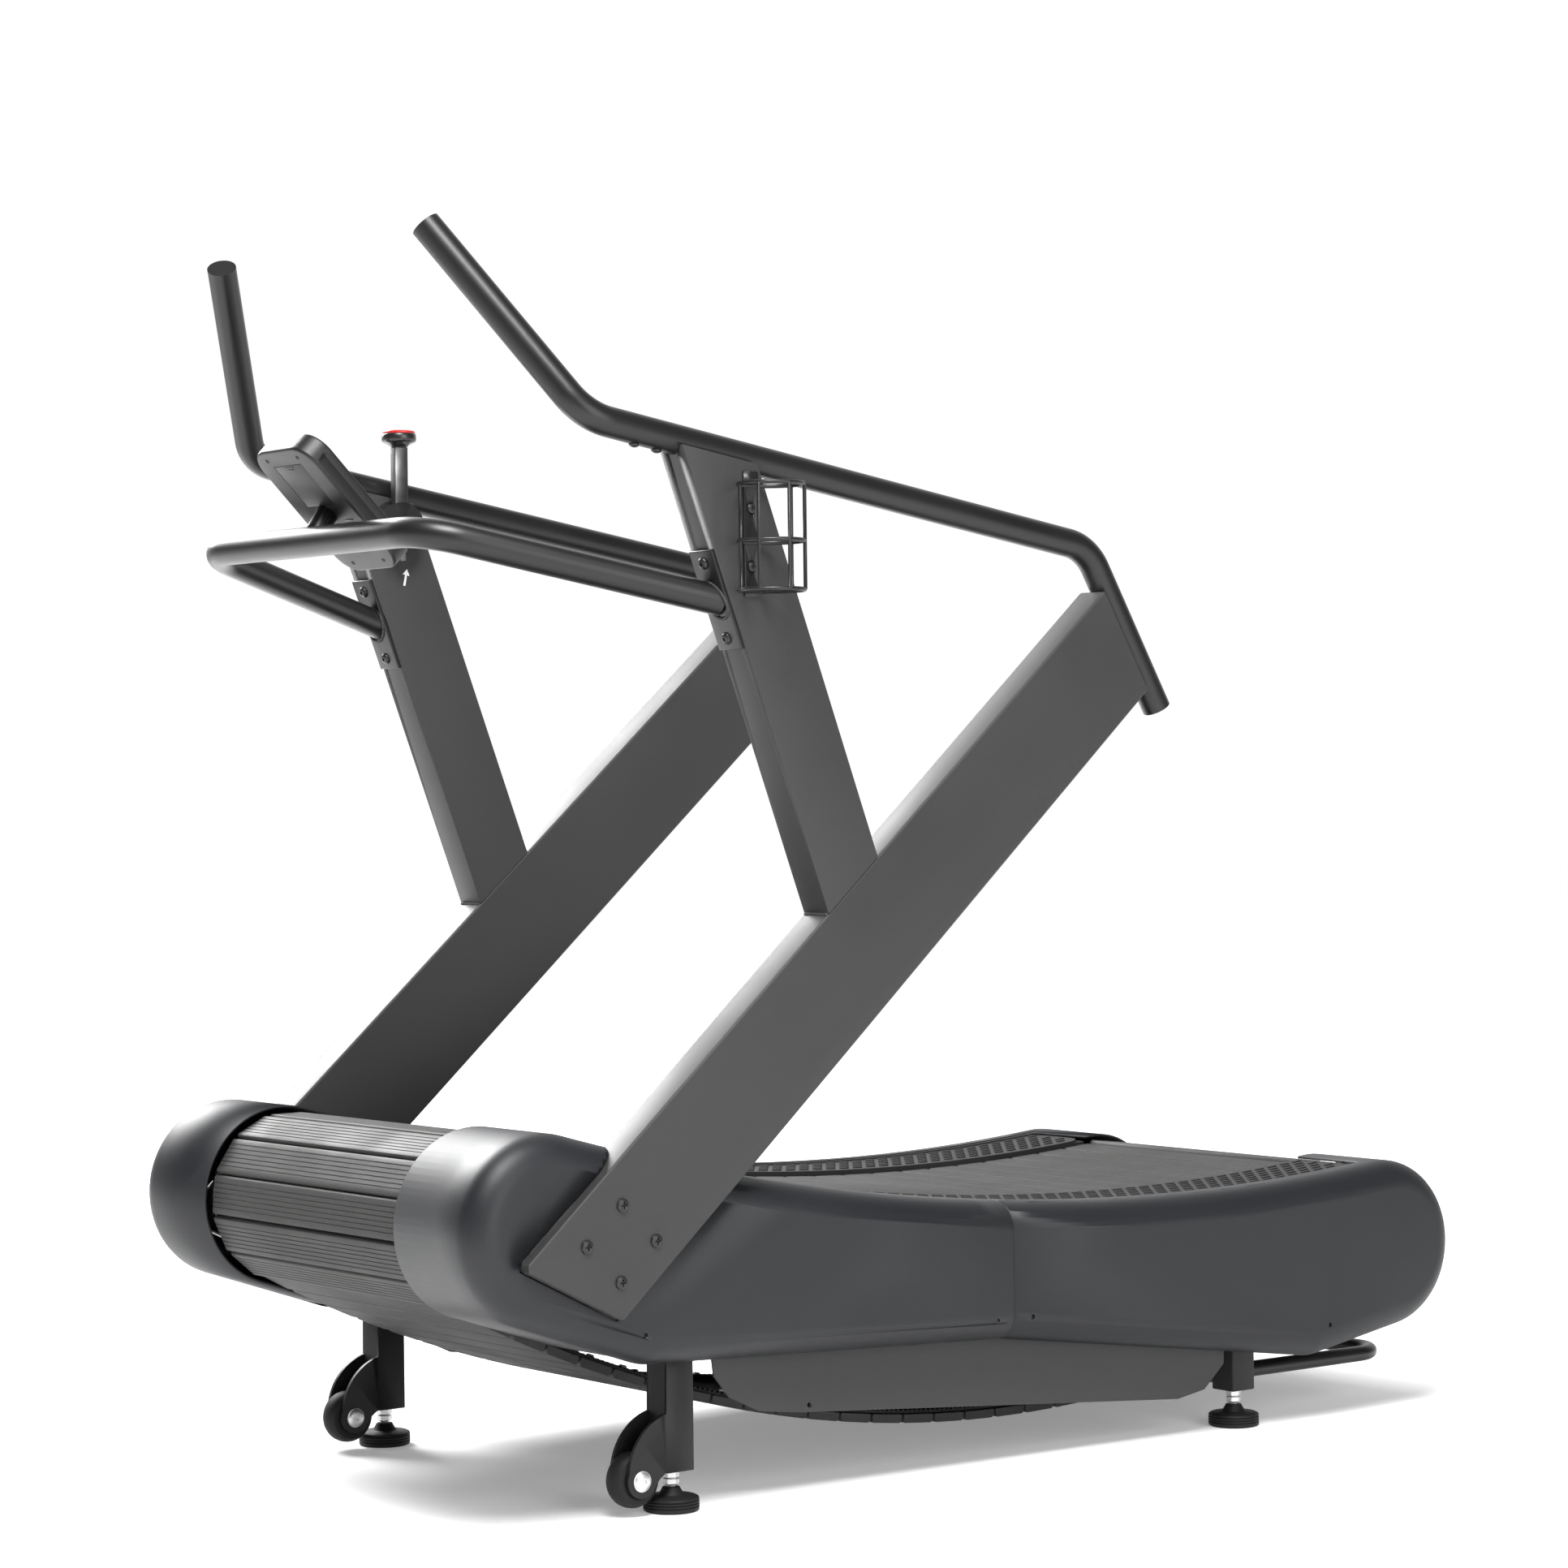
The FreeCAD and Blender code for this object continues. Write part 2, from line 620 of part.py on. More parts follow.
def side_rail_lug():
    """Welded block between the side rail and the beam's lower end."""
    x, z = SIDE_RAIL_ENDS[0]
    inner_face = -FOOT_Y - SIDE_RAIL_WIDTH / 2
    outer_face = -HALF_WIDTH + BEAM_WIDTH
    return box(x + 5, x + 65, outer_face, inner_face, z - 25, z + 20)


def side_rail_z(x):
    (x0, z0), (x1, z1) = SIDE_RAIL_ENDS
    return z0 + (z1 - z0) * (x - x0) / (x1 - x0)


def cross_members():
    half, bore = CROSS_TUBE / 2, CROSS_TUBE / 2 - TUBE_WALL
    end = FOOT_Y - SIDE_RAIL_WIDTH / 2
    tubes = []
    for x, z in CROSS_PLACES:
        tube = box(x - half, x + half, -end, end, z - half, z + half)
        tubes.append(tube.cut(box(x - bore, x + bore, -end, end, z - bore, z + bore)))
    return Part.makeCompound(tubes)


def axle_plates():
    """Plates welded inside the side rails' ends, which hold the axle bearings."""
    y0 = -axle_plate_y() - AXLE_PLATE_THICKNESS / 2
    y1 = y0 + AXLE_PLATE_THICKNESS
    plates = []
    reach, length, half_tail = 40.0, 165.0, 30.0
    for (x, z), inward in ((FRONT_DRUM, 1), (REAR_DRUM, -1)):
        far = x + inward * length
        near = x - inward * reach
        rail_z = side_rail_z(far)
        outline = [V(near, 0, z - reach * 0.6), V(near, 0, z + reach * 0.6), V(x, 0, z + reach),
                   V(far, 0, rail_z + half_tail), V(far, 0, rail_z - half_tail), V(x, 0, z - reach)]
        shape = plate(outline, y0, y1).cut(rod_y(x, z, AXLE_BEARING_RADIUS, y0 - 1, y1 + 1))
        plates += [shape, mirrored(shape, 1)]
    return Part.makeCompound(plates + [magnet_pivot()])


def side_rail_underside(x):
    (x0, z0), (x1, z1) = SIDE_RAIL_ENDS
    return side_rail_z(x) - SIDE_RAIL_HEIGHT / 2 / math.cos(math.atan2(z1 - z0, x1 - x0))


def leg_tube(x):
    half, bore = LEG_SIZE / 2, LEG_SIZE / 2 - TUBE_WALL
    top = side_rail_underside(x) - 3
    tube = box(x - half, x + half, -FOOT_Y - half, -FOOT_Y + half, LEG_BOTTOM, top)
    bore_box = box(x - bore, x + bore, -FOOT_Y - bore, -FOOT_Y + bore, LEG_BOTTOM + 6, top + 1)
    tube = tube.cut(bore_box)
    return tube.cut(Part.makeCylinder(STUD_RADIUS + RUN, 20, V(x, -FOOT_Y, LEG_BOTTOM - 1), AXIS_Z))


def leg_cap(x):
    """Plate that closes a leg's top under the sloping side rail."""
    half = LEG_SIZE / 2
    z = side_rail_underside(x)
    slope = (side_rail_z(x + half) - side_rail_z(x - half)) / 2
    outline = [V(x - half, 0, z - 3), V(x + half, 0, z - 3),
               V(x + half, 0, z + slope), V(x - half, 0, z - slope)]
    return plate(outline, -FOOT_Y - half, -FOOT_Y + half)


def fork_plates():
    """Two curved cheeks welded to the front of a leg, one on each side of the wheel."""
    x, z = WHEEL_CENTER
    face = -FOOT_X - LEG_SIZE / 2
    low, high = V(face, 0, LEG_BOTTOM + 2), V(face, 0, FORK_TOP)
    front, rear = V(x - 19, 0, z + 10), V(x + 16, 0, z - 15)
    outline = Part.Wire([
        Part.LineSegment(low, high).toShape(),
        Part.Arc(high, high + V(-26, 0, -12), front).toShape(),
        Part.Arc(front, V(x - 12, 0, z - 17), rear).toShape(),
        Part.Arc(rear, low + V(-12, 0, -8), low).toShape(),
    ])
    cheeks = []
    inner = WHEEL_WIDTH / 2 + WHEEL_SIDE_GAP
    for y in (-FOOT_Y - inner - FORK_PLATE, -FOOT_Y + inner):
        cheek = Part.Face(outline).extrude(V(0, FORK_PLATE, 0))
        cheek.translate(V(0, y, 0))
        cheeks.append(cheek.cut(rod_y(x, z, WHEEL_BOLT_RADIUS, y - 1, y + FORK_PLATE + 1)))
    return cheeks


def front_legs():
    leg = leg_tube(-FOOT_X).fuse([leg_cap(-FOOT_X)] + fork_plates())
    return both(leg.removeSplitter())


def rear_legs():
    leg = leg_tube(FOOT_X).fuse(leg_cap(FOOT_X))
    return both(leg.removeSplitter())


def wheel(side):
    """Rubber-tyred transport wheel with a rounded tread."""
    x, z = WHEEL_CENTER
    half = WHEEL_WIDTH / 2
    disc = rod_y(x, z, WHEEL_RADIUS, -FOOT_Y - half, -FOOT_Y + half)
    rims = [e for e in disc.Edges if abs(e.Length - 2 * math.pi * WHEEL_RADIUS) < 0.1]
    disc = disc.makeFillet(9, rims)
    return mirrored(disc.cut(rod_y(x, z, WHEEL_BOLT_RADIUS + RUN, -FOOT_Y - 30, -FOOT_Y + 30)), side)


def wheel_bolts():
    x, z = WHEEL_CENTER
    outer = WHEEL_WIDTH / 2 + WHEEL_SIDE_GAP + FORK_PLATE
    head_radius, head_height, nut_radius, nut_height = 12.0, 4.0, 9.0, 7.0
    bolts = []
    for _, side in SIDES:
        head = Part.makeCylinder(head_radius, head_height, V(x, side * FOOT_Y - outer, z), AXIS_Y * -1)
        head = head.makeFillet(head_height / 2, [head.Edges[0]])
        shank = rod_y(x, z, WHEEL_BOLT_RADIUS, side * FOOT_Y - outer, side * FOOT_Y + outer)
        nut = rod_y(x, z, nut_radius, side * FOOT_Y + outer, side * FOOT_Y + outer + nut_height)
        bolts.append(head.fuse([shank, nut]).removeSplitter())
    return Part.makeCompound(bolts)


def foot(x, side):
    """Levelling foot: a rubber pad moulded on a threaded stud."""
    y = side * FOOT_Y
    pad = Part.makeCylinder(PAD_RADIUS, PAD_HEIGHT, V(x, y, 0), AXIS_Z)
    pad = pad.makeFillet(4, [e for e in pad.Edges if e.Length > 2 * PAD_RADIUS])
    boot = Part.makeCone(STUD_RADIUS + 9, STUD_RADIUS + 4, BOOT_HEIGHT, V(x, y, PAD_HEIGHT), AXIS_Z)
    stud = Part.makeCylinder(STUD_RADIUS, STUD_LENGTH, V(x, y, PAD_SEAT), AXIS_Z)
    rubber = pad.fuse(boot).cut(stud)
    return Part.makeCompound([rubber.removeSplitter(), stud])


def hexagon(x, y, z, across, height):
    radius = across / math.sqrt(3)
    turns = [math.radians(60 * i) for i in range(7)]
    corners = [V(x + radius * math.cos(a), y + radius * math.sin(a), z) for a in turns]
    return Part.Face(Part.makePolygon(corners)).extrude(V(0, 0, height))


def foot_nuts():
    """Lock nut and washer-faced nut under each leg."""
    nuts = []
    for x in (-FOOT_X, FOOT_X):
        for _, side in SIDES:
            y = side * FOOT_Y
            bore = Part.makeCylinder(STUD_RADIUS + RUN, LEG_BOTTOM, V(x, y, 0), AXIS_Z)
            upper = LEG_BOTTOM - NUT_HEIGHT - 1
            lower = upper - CLEAR - NUT_HEIGHT - 1
            nuts.append(hexagon(x, y, upper, NUT_ACROSS, NUT_HEIGHT + 1).cut(bore))
            nuts.append(hexagon(x, y, lower + 1, NUT_ACROSS, NUT_HEIGHT).cut(bore))
    return Part.makeCompound(nuts)


def guard_plates():
    """Flat steel guards that hide the return run between the legs."""
    y0 = -FOOT_Y - SIDE_RAIL_WIDTH / 2
    front = -FOOT_X + LEG_SIZE / 2 + GUARD_END_GAP
    rear = FOOT_X - LEG_SIZE / 2 - GUARD_END_GAP
    outline = [V(front, 0, side_rail_z(front))]
    outline += [V(front + x, 0, z) for x, z in GUARD_FRONT_CORNER]
    outline += [V(rear - x, 0, z) for x, z in GUARD_REAR_CORNER]
    outline.append(V(rear, 0, side_rail_z(rear)))
    shape = plate(outline, y0 - GUARD_THICKNESS, y0)
    hole_x, hole_z, hole_radius = front + 168.0, 112.0, 3.5
    return both(shape.cut(rod_y(hole_x, hole_z, hole_radius, y0 - 6, y0 + 1)))


def lift_handle():
    """U-shaped tube under the rear end, welded to the rear legs' inner faces."""
    y = FOOT_Y - LEG_SIZE / 2 - HANDLE_RADIUS
    front = FOOT_X - LEG_SIZE / 2
    back, z = HANDLE_BACK
    line = [V(front, -y, z), V(back, -y, z), V(back, y, z), V(front, y, z)]
    return bent_tube(line, HANDLE_BEND, HANDLE_RADIUS, TUBE_WALL)


# ---- covers -------------------------------------------------------------------------------
def tangent_point(corner, centre, radius, side):
    """Where the line from a corner touches a circle; side picks one of the two."""
    way = corner - centre
    spread = math.acos(radius / way.Length)
    angle = math.atan2(way.z, way.x) + side * spread
    return centre + V(math.cos(angle), 0, math.sin(angle)) * radius


def rounded_corner(before, corner, after, radius):
    wire = bent_wire([before, corner, after], radius)
    return wire.Edges


def cowl_outline(end, inset):
    """Side outline of half a cowl: deck curve, drum arc, lower edge and seam."""
    path = BeltPath(inset - COWL_OFFSET)
    if end == "front":
        centre, top, seam = point(FRONT_DRUM), path.front_top, COWL_SEAM_X - COWL_SEAM_GAP / 2
        corner, outward, side = point(COWL_BOTTOM_FRONT), V(-1, 0, 0), -1
    else:
        centre, top, seam = point(REAR_DRUM), path.rear_top, COWL_SEAM_X + COWL_SEAM_GAP / 2
        corner, outward, side = point(COWL_BOTTOM_REAR), V(1, 0, 0), 1
    corner = corner + V(0, 0, inset)
    radius = DRUM_RADIUS + COWL_OFFSET - inset
    touch = tangent_point(corner, centre, radius, side)
    seam = seam - inset * outward.x
    seam_top = V(seam, 0, path.deck_z(seam))
    seam_bottom = V(seam, 0, COWL_BOTTOM_SEAM + inset)
    deck = path.deck_edge(seam, top.x)
    drum = Part.Arc(top, centre + outward * radius, touch).toShape()
    lower = rounded_corner(touch, corner, seam_bottom, COWL_CORNER)
    closing = Part.LineSegment(seam_bottom, seam_top).toShape()
    return Part.Wire(Part.__sortEdges__([deck, drum] + lower + [closing])), seam


def cowl_block(end, inset, rounding):
    wire, seam = cowl_outline(end, inset)
    block = Part.Face(wire).extrude(V(0, COWL_SIDE_Y - COWL_RIM_Y - inset, 0))
    block.translate(V(0, -COWL_SIDE_Y + inset, 0))
    outer = [e for e in block.Edges
             if all(abs(v.Point.y + COWL_SIDE_Y - inset) < 0.01 for v in e.Vertexes)
             and abs(e.CenterOfMass.x - seam) > 1]
    return block.makeFillet(rounding, outer)


def cowl(end):
    """Moulded shell: flat side, large rounded edge, and a rim that laps over the belt's drum."""
    shell = cowl_block(end, 0.0, COWL_EDGE)
    hollow = cowl_block(end, COWL_WALL, COWL_EDGE - COWL_WALL)
    hollow = hollow.fuse(hollow.translated(V(0, 5, 0)))
    shell = shell.cut(hollow)
    gap = CUTOUT_GAP
    inner = -STRIP_OUTER_Y - gap
    x0, x1 = STRIP_ENDS[0] - gap, STRIP_ENDS[1] + gap
    window = deck_band(x0, x1, -STRIP_WINDOW, STRIP_WINDOW, inner, 0)
    shell = shell.cut(window)
    lip = FOOT_Y + SIDE_RAIL_WIDTH / 2 + GUARD_THICKNESS + LIP_GAP
    shell = shell.cut(box(COWL_BOTTOM_FRONT[0] - 40, COWL_BOTTOM_REAR[0] + 60, -lip, 0, 0, 215))
    shell = shell.cut(plate(beam_corners(CUTOUT_GAP), -HALF_WIDTH - 1, -HALF_WIDTH + BEAM_WIDTH + gap))
    for x, z in cowl_screw_places():
        shell = shell.cut(rod_y(x, z, 3 + CLEAR, -COWL_SIDE_Y - 1, -COWL_SIDE_Y + 10))
    solids = sorted(shell.Solids, key=lambda s: s.Volume)
    return solids[-1]


def cowl_screw_places():
    front, rear = point(COWL_BOTTOM_FRONT), point(COWL_BOTTOM_REAR)
    seam_z = COWL_BOTTOM_SEAM + 29
    return ((front.x - 16, front.z + 41), (COWL_SEAM_X - 28, seam_z), (COWL_SEAM_X + 32, seam_z),
            (rear.x + 15, rear.z + 45))


def cowl_screws():
    """Countersunk screws, sunk below the cowl's side."""
    screws = []
    for x, z in cowl_screw_places():
        screw = rod_y(x, z, 3, -COWL_SIDE_Y + 0.5, -COWL_SIDE_Y + 24)
        screws += [screw, mirrored(screw, 1)]
    return Part.makeCompound(screws)


def tread_strip(side):
    """Rubber-faced foot rail beside the belt, on the deck's curve."""
    strip = deck_band(STRIP_ENDS[0], STRIP_ENDS[1], -STRIP_RISE, STRIP_THICKNESS - STRIP_RISE,
                      -STRIP_OUTER_Y, -STRIP_INNER_Y)
    return mirrored(strip, side)


# ---- front end ----------------------------------------------------------------------------
def post_front(z):
    """Point on a post's front face at a height."""
    foot_point = point(BEAM_FOOT) + heading(BEAM_ANGLE) * POST_FOOT
    lean = heading(90 + POST_LEAN)
    return meet(foot_point, lean, V(0, 0, z), V(1, 0, 0))


def handlebar_line():
    x, y, z = HANDLEBAR_CORNER
    root = post_front(FLANGE_Z) + heading(180 + POST_LEAN) * FLANGE_THICKNESS
    left_root = V(root.x, bar_y(), root.z)
    right_root = V(root.x, -bar_y(), root.z)
    return [left_root, V(x, -y, z), V(x, y, z), right_root]


def flange(side):
    centre = post_front(FLANGE_Z)
    up, out = heading(90 + POST_LEAN), heading(180 + POST_LEAN)
    half, reach = up * (FLANGE_LENGTH / 2), out * FLANGE_THICKNESS
    outline = [centre - half, centre + half, centre + half + reach, centre - half + reach]
    shape = plate(outline, bar_y() - FLANGE_WIDTH / 2, bar_y() + FLANGE_WIDTH / 2)
    for place in flange_bolt_places():
        shape = shape.cut(rod(place - out * 20, place + out * 20, FLANGE_BOLT_RADIUS + RUN))
    return mirrored(shape, side)


def flange_bolt_places():
    centre = post_front(FLANGE_Z)
    up = heading(90 + POST_LEAN)
    spots = [centre + up * (FLANGE_BOLT_SPACING / 2), centre - up * (FLANGE_BOLT_SPACING / 2)]
    return [V(p.x, bar_y(), p.z) for p in spots]


def front_handlebar():
    line = handlebar_line()
    out = heading(180 + POST_LEAN)
    first = line[0] - (line[1] - line[0]).normalize() * 30
    last = line[3] - (line[2] - line[3]).normalize() * 30
    tube = bent_tube([first, line[1], line[2], last], HANDLEBAR_BEND, BAR_RADIUS, TUBE_WALL)
    face = post_front(FLANGE_Z) + out * FLANGE_THICKNESS
    up = heading(90 + POST_LEAN) * 200
    behind = plate([face - up, face + up, face + up - out * 200, face - up - out * 200],
                   -HALF_WIDTH * 1.5, HALF_WIDTH * 1.5)
    return tube.cut(behind)


def button_bolts():
    """Button-head bolts of the horns and of the handlebar's flanges."""
    bolts = []
    out = heading(180 + POST_LEAN)
    for place in flange_bolt_places():
        seat = place + out * FLANGE_THICKNESS
        head = Part.makeCylinder(2 * FLANGE_BOLT_RADIUS, 4.5, seat, out)
        head = head.makeFillet(2.5, [head.Edges[0]])
        shank = rod(place, seat, FLANGE_BOLT_RADIUS)
        bolts.append(head.fuse(shank).removeSplitter())
    down = heading(-90 - RAIL_SLOPE)
    for place in horn_bolt_places():
        seat = place + down * (BAR_RADIUS + CLEAR)
        head = Part.makeCylinder(HORN_BOLT_HEAD, 3.5, seat, down)
        bolts.append(head.makeFillet(2, [head.Edges[0]]))
    return Part.makeCompound(bolts + [mirrored(b, 1) for b in bolts])


def console_place(shape):
    """Console parts are drawn flat, display up and lower edge towards +X, then tilted."""
    shape.rotate(V(0, 0, 0), AXIS_Y, CONSOLE_TILT)
    shape.translate(V(*CONSOLE_CENTER))
    return shape


def rounded_slab(length, width, z0, z1, corner):
    slab = box(-length / 2, length / 2, -width / 2, width / 2, z0, z1)
    upright = [e for e in slab.Edges if abs(e.Vertexes[0].Point.z - e.Vertexes[-1].Point.z) > 0.1]
    return slab.makeFillet(corner, upright)


SEAM_LEVEL = 2.0
KEY_SPOTS = (("key_start", -34.0), ("key_mode", 0.0), ("key_stop", 34.0))
KEY_X = 62.0
KEY_SIZE = (22.0, 26.0)
SCREEN_SIZE = (96.0, 100.0)
SCREEN_X = -30.0
SCREEN_RECESS = 0.8


def console_back():
    length, width, depth = CONSOLE_SIZE
    shell = rounded_slab(length, width, -depth / 2, SEAM_LEVEL, CONSOLE_CORNER)
    rim = [e for e in shell.Edges if all(v.Point.z < -depth / 2 + 0.1 for v in e.Vertexes)]
    shell = shell.makeFillet(4, rim)
    wall = CONSOLE_WALL
    inner = CONSOLE_CORNER - wall
    shell = shell.cut(rounded_slab(length - 2 * wall, width - 2 * wall, -depth / 2 + wall, depth, inner))
    return console_place(shell.cut(door_block(0.0, -depth)))


def door_block(gap, z0):
    """Block of the battery door's outline, drawn in by a gap, from a level to the door's inner face."""
    x, half_x, half_y = -43.0, 35.0 - gap, 32.0 - gap
    return box(x - half_x, x + half_x, -half_y, half_y, z0, -CONSOLE_SIZE[2] / 2 + DOOR_THICKNESS)


def battery_door():
    return console_place(door_block(2 * CLEAR, -CONSOLE_SIZE[2] / 2))


def console_front():
    length, width, depth = CONSOLE_SIZE
    wall = CONSOLE_WALL
    shell = rounded_slab(length, width, SEAM_LEVEL, depth / 2, CONSOLE_CORNER)
    rim = [e for e in shell.Edges if all(v.Point.z > depth / 2 - 0.1 for v in e.Vertexes)]
    shell = shell.makeFillet(4, rim)
    inner = CONSOLE_CORNER - wall
    shell = shell.cut(rounded_slab(length - 2 * wall, width - 2 * wall, 0, depth / 2 - wall, inner))
    sx, sy = SCREEN_SIZE
    x0, x1 = SCREEN_X - sx / 2, SCREEN_X + sx / 2
    shell = shell.cut(box(x0, x1, -sy / 2, sy / 2, depth / 2 - wall - 1, depth))
    for _, y in KEY_SPOTS:
        kx, ky = KEY_SIZE[0] / 2 + CLEAR, KEY_SIZE[1] / 2 + CLEAR
        shell = shell.cut(box(KEY_X - kx, KEY_X + kx, y - ky, y + ky, 0, depth))
    return console_place(shell)


def console_screen():
    sx, sy = SCREEN_SIZE
    top = CONSOLE_SIZE[2] / 2 - SCREEN_RECESS
    bottom = CONSOLE_SIZE[2] / 2 - CONSOLE_WALL
    return console_place(box(SCREEN_X - sx / 2, SCREEN_X + sx / 2, -sy / 2, sy / 2, bottom, top))


def console_key(y):
    top = CONSOLE_SIZE[2] / 2
    key = box(KEY_X - KEY_SIZE[0] / 2, KEY_X + KEY_SIZE[0] / 2,
              y - KEY_SIZE[1] / 2, y + KEY_SIZE[1] / 2, top - 5, top + 1.5)
    return console_place(key.makeFillet(0.6, [e for e in key.Edges if e.CenterOfMass.z > top + 1.4]))


def console_stalk():
    x, _, z = HANDLEBAR_CORNER
    bar = V(x, 0, z)
    back = V(*CONSOLE_CENTER) - heading(90 - CONSOLE_TILT) * (CONSOLE_SIZE[2] / 2)
    foot_end = bar + (back - bar).normalize() * 4
    stalk = rod(foot_end, back + heading(90 - CONSOLE_TILT) * 20, STALK_RADIUS)
    cross = rod(V(x, -100, z), V(x, 100, z), BAR_RADIUS)
    block = console_place(box(-90, 90, -60, 60, -CONSOLE_SIZE[2] / 2, 60))
    return stalk.cut(cross).cut(block)


def lever_y():
    """Inner face of the right post, where the lever's quadrant is fixed."""
    return HALF_WIDTH - POST_WIDTH


def resistance_quadrant():
    """Round housing on the post's inner face, with the lever's pin."""
    x, z = LEVER_HUB
    y1 = lever_y()
    face = y1 - QUADRANT_THICKNESS
    back = rod_y(x, z, QUADRANT_RADIUS, face, y1)
    pin = rod_y(x, z, LEVER_PIN, face - HUB_THICKNESS - 3, face)
    return back.fuse(pin).removeSplitter()


def resistance_lever():
    """Hub disc, flat bar and pointer, turning together on the quadrant's pin."""
    x, z = LEVER_HUB
    y1 = lever_y() - QUADRANT_THICKNESS - CLEAR
    front = y1 - HUB_THICKNESS
    hub = rod_y(x, z, QUADRANT_RADIUS - 3, front, y1)
    bar_x, bar_depth = LEVER_BAR
    root = QUADRANT_RADIUS / 2
    bar = box(x - bar_x / 2, x + bar_x / 2, front + 2, front + 2 + bar_depth, z + root, z + LEVER_LENGTH)
    pointer = box(x - 4, x + 4, front, front + 5, z - QUADRANT_RADIUS - 6, z - root)
    lever = hub.fuse([bar, pointer]).removeSplitter()
    return lever.cut(rod_y(x, z, LEVER_PIN + RUN, y1 - 30, y1 + 1))


def knob_centre():
    x, z = LEVER_HUB
    front = lever_y() - QUADRANT_THICKNESS - CLEAR - HUB_THICKNESS
    return x, front + 2 + LEVER_BAR[1] / 2, z + LEVER_LENGTH


def lever_knob():
    """Mushroom knob pushed on the bar's end."""
    x, y, z = knob_centre()
    neck = 7.0
    stem = Part.makeCone(13, KNOB_RADIUS, neck, V(x, y, z), AXIS_Z)
    head = Part.makeCylinder(KNOB_RADIUS, KNOB_HEIGHT - neck, V(x, y, z + neck), AXIS_Z)
    return stem.fuse(head).removeSplitter()


def lever_cap():
    x, y, z = knob_centre()
    cap = Part.makeCylinder(KNOB_RADIUS - 1.5, 4, V(x, y, z + KNOB_HEIGHT), AXIS_Z)
    return cap.makeFillet(2.5, [e for e in cap.Edges if e.CenterOfMass.z > z + KNOB_HEIGHT + 3])


# ---- bottle cage --------------------------------------------------------------------------
def cage_ring(z):
    x, y = CAGE_CENTER
    return Part.makeTorus(CAGE_RING, CAGE_WIRE, V(x, y, z), AXIS_Z)


def around_cage(degrees, radius):
    x, y = CAGE_CENTER
    angle = math.radians(degrees)
    return V(x + radius * math.cos(angle), y + radius * math.sin(angle), 0)


def bottle_cage():
    """Wire basket on the left post's outer face: three hoops, uprights, floor wires and a strap."""
    x, y = CAGE_CENTER
    low, _, high = CAGE_LEVELS
    cage = cage_ring(low).fuse([cage_ring(z) for z in CAGE_LEVELS[1:]])
    for degrees in (-150, -95, -40, 15, 165):
        base = around_cage(degrees, CAGE_RING + 1)
        cage = cage.fuse(rod(base + V(0, 0, low), base + V(0, 0, high), CAGE_UPRIGHT))
    for reach in (-14, 14):
        span = math.sqrt(CAGE_RING ** 2 - reach ** 2)
        start, end = V(x + reach, y - span, low - 1), V(x + reach, y + span, low - 1)
        cage = cage.fuse(rod(start, end, CAGE_UPRIGHT))
    strap = box(x - 11, x + 11, y + CAGE_RING, -HALF_WIDTH, low - 7, high + 18)
    return cage.fuse(strap)


def cage_screw_places():
    x, _ = CAGE_CENTER
    return ((x, CAGE_LEVELS[0] + 30), (x, CAGE_LEVELS[2] - 28))


def beam_screws():
    """Cross-head screws: four through each beam's foot, and two that hold the bottle cage."""
    screws = []
    along, down = heading(BEAM_ANGLE), heading(BEAM_ANGLE - 90)
    for reach in (78.0, 148.0):
        for depth in (44.0, 112.0):
            spot = point(BEAM_FOOT) + along * (reach + depth * 0.1) + down * depth
            screw = screw_y(spot.x, -HALF_WIDTH, spot.z, SCREW_HEAD, 4.5, 3, TUBE_WALL, -1)
            screws += [screw, mirrored(screw, 1)]
    strap_face = CAGE_CENTER[1] + CAGE_RING
    for x, z in cage_screw_places():
        screws.append(screw_y(x, strap_face, z, 6, 3, 2.5, 2.5, -1))
    return Part.makeCompound(screws)


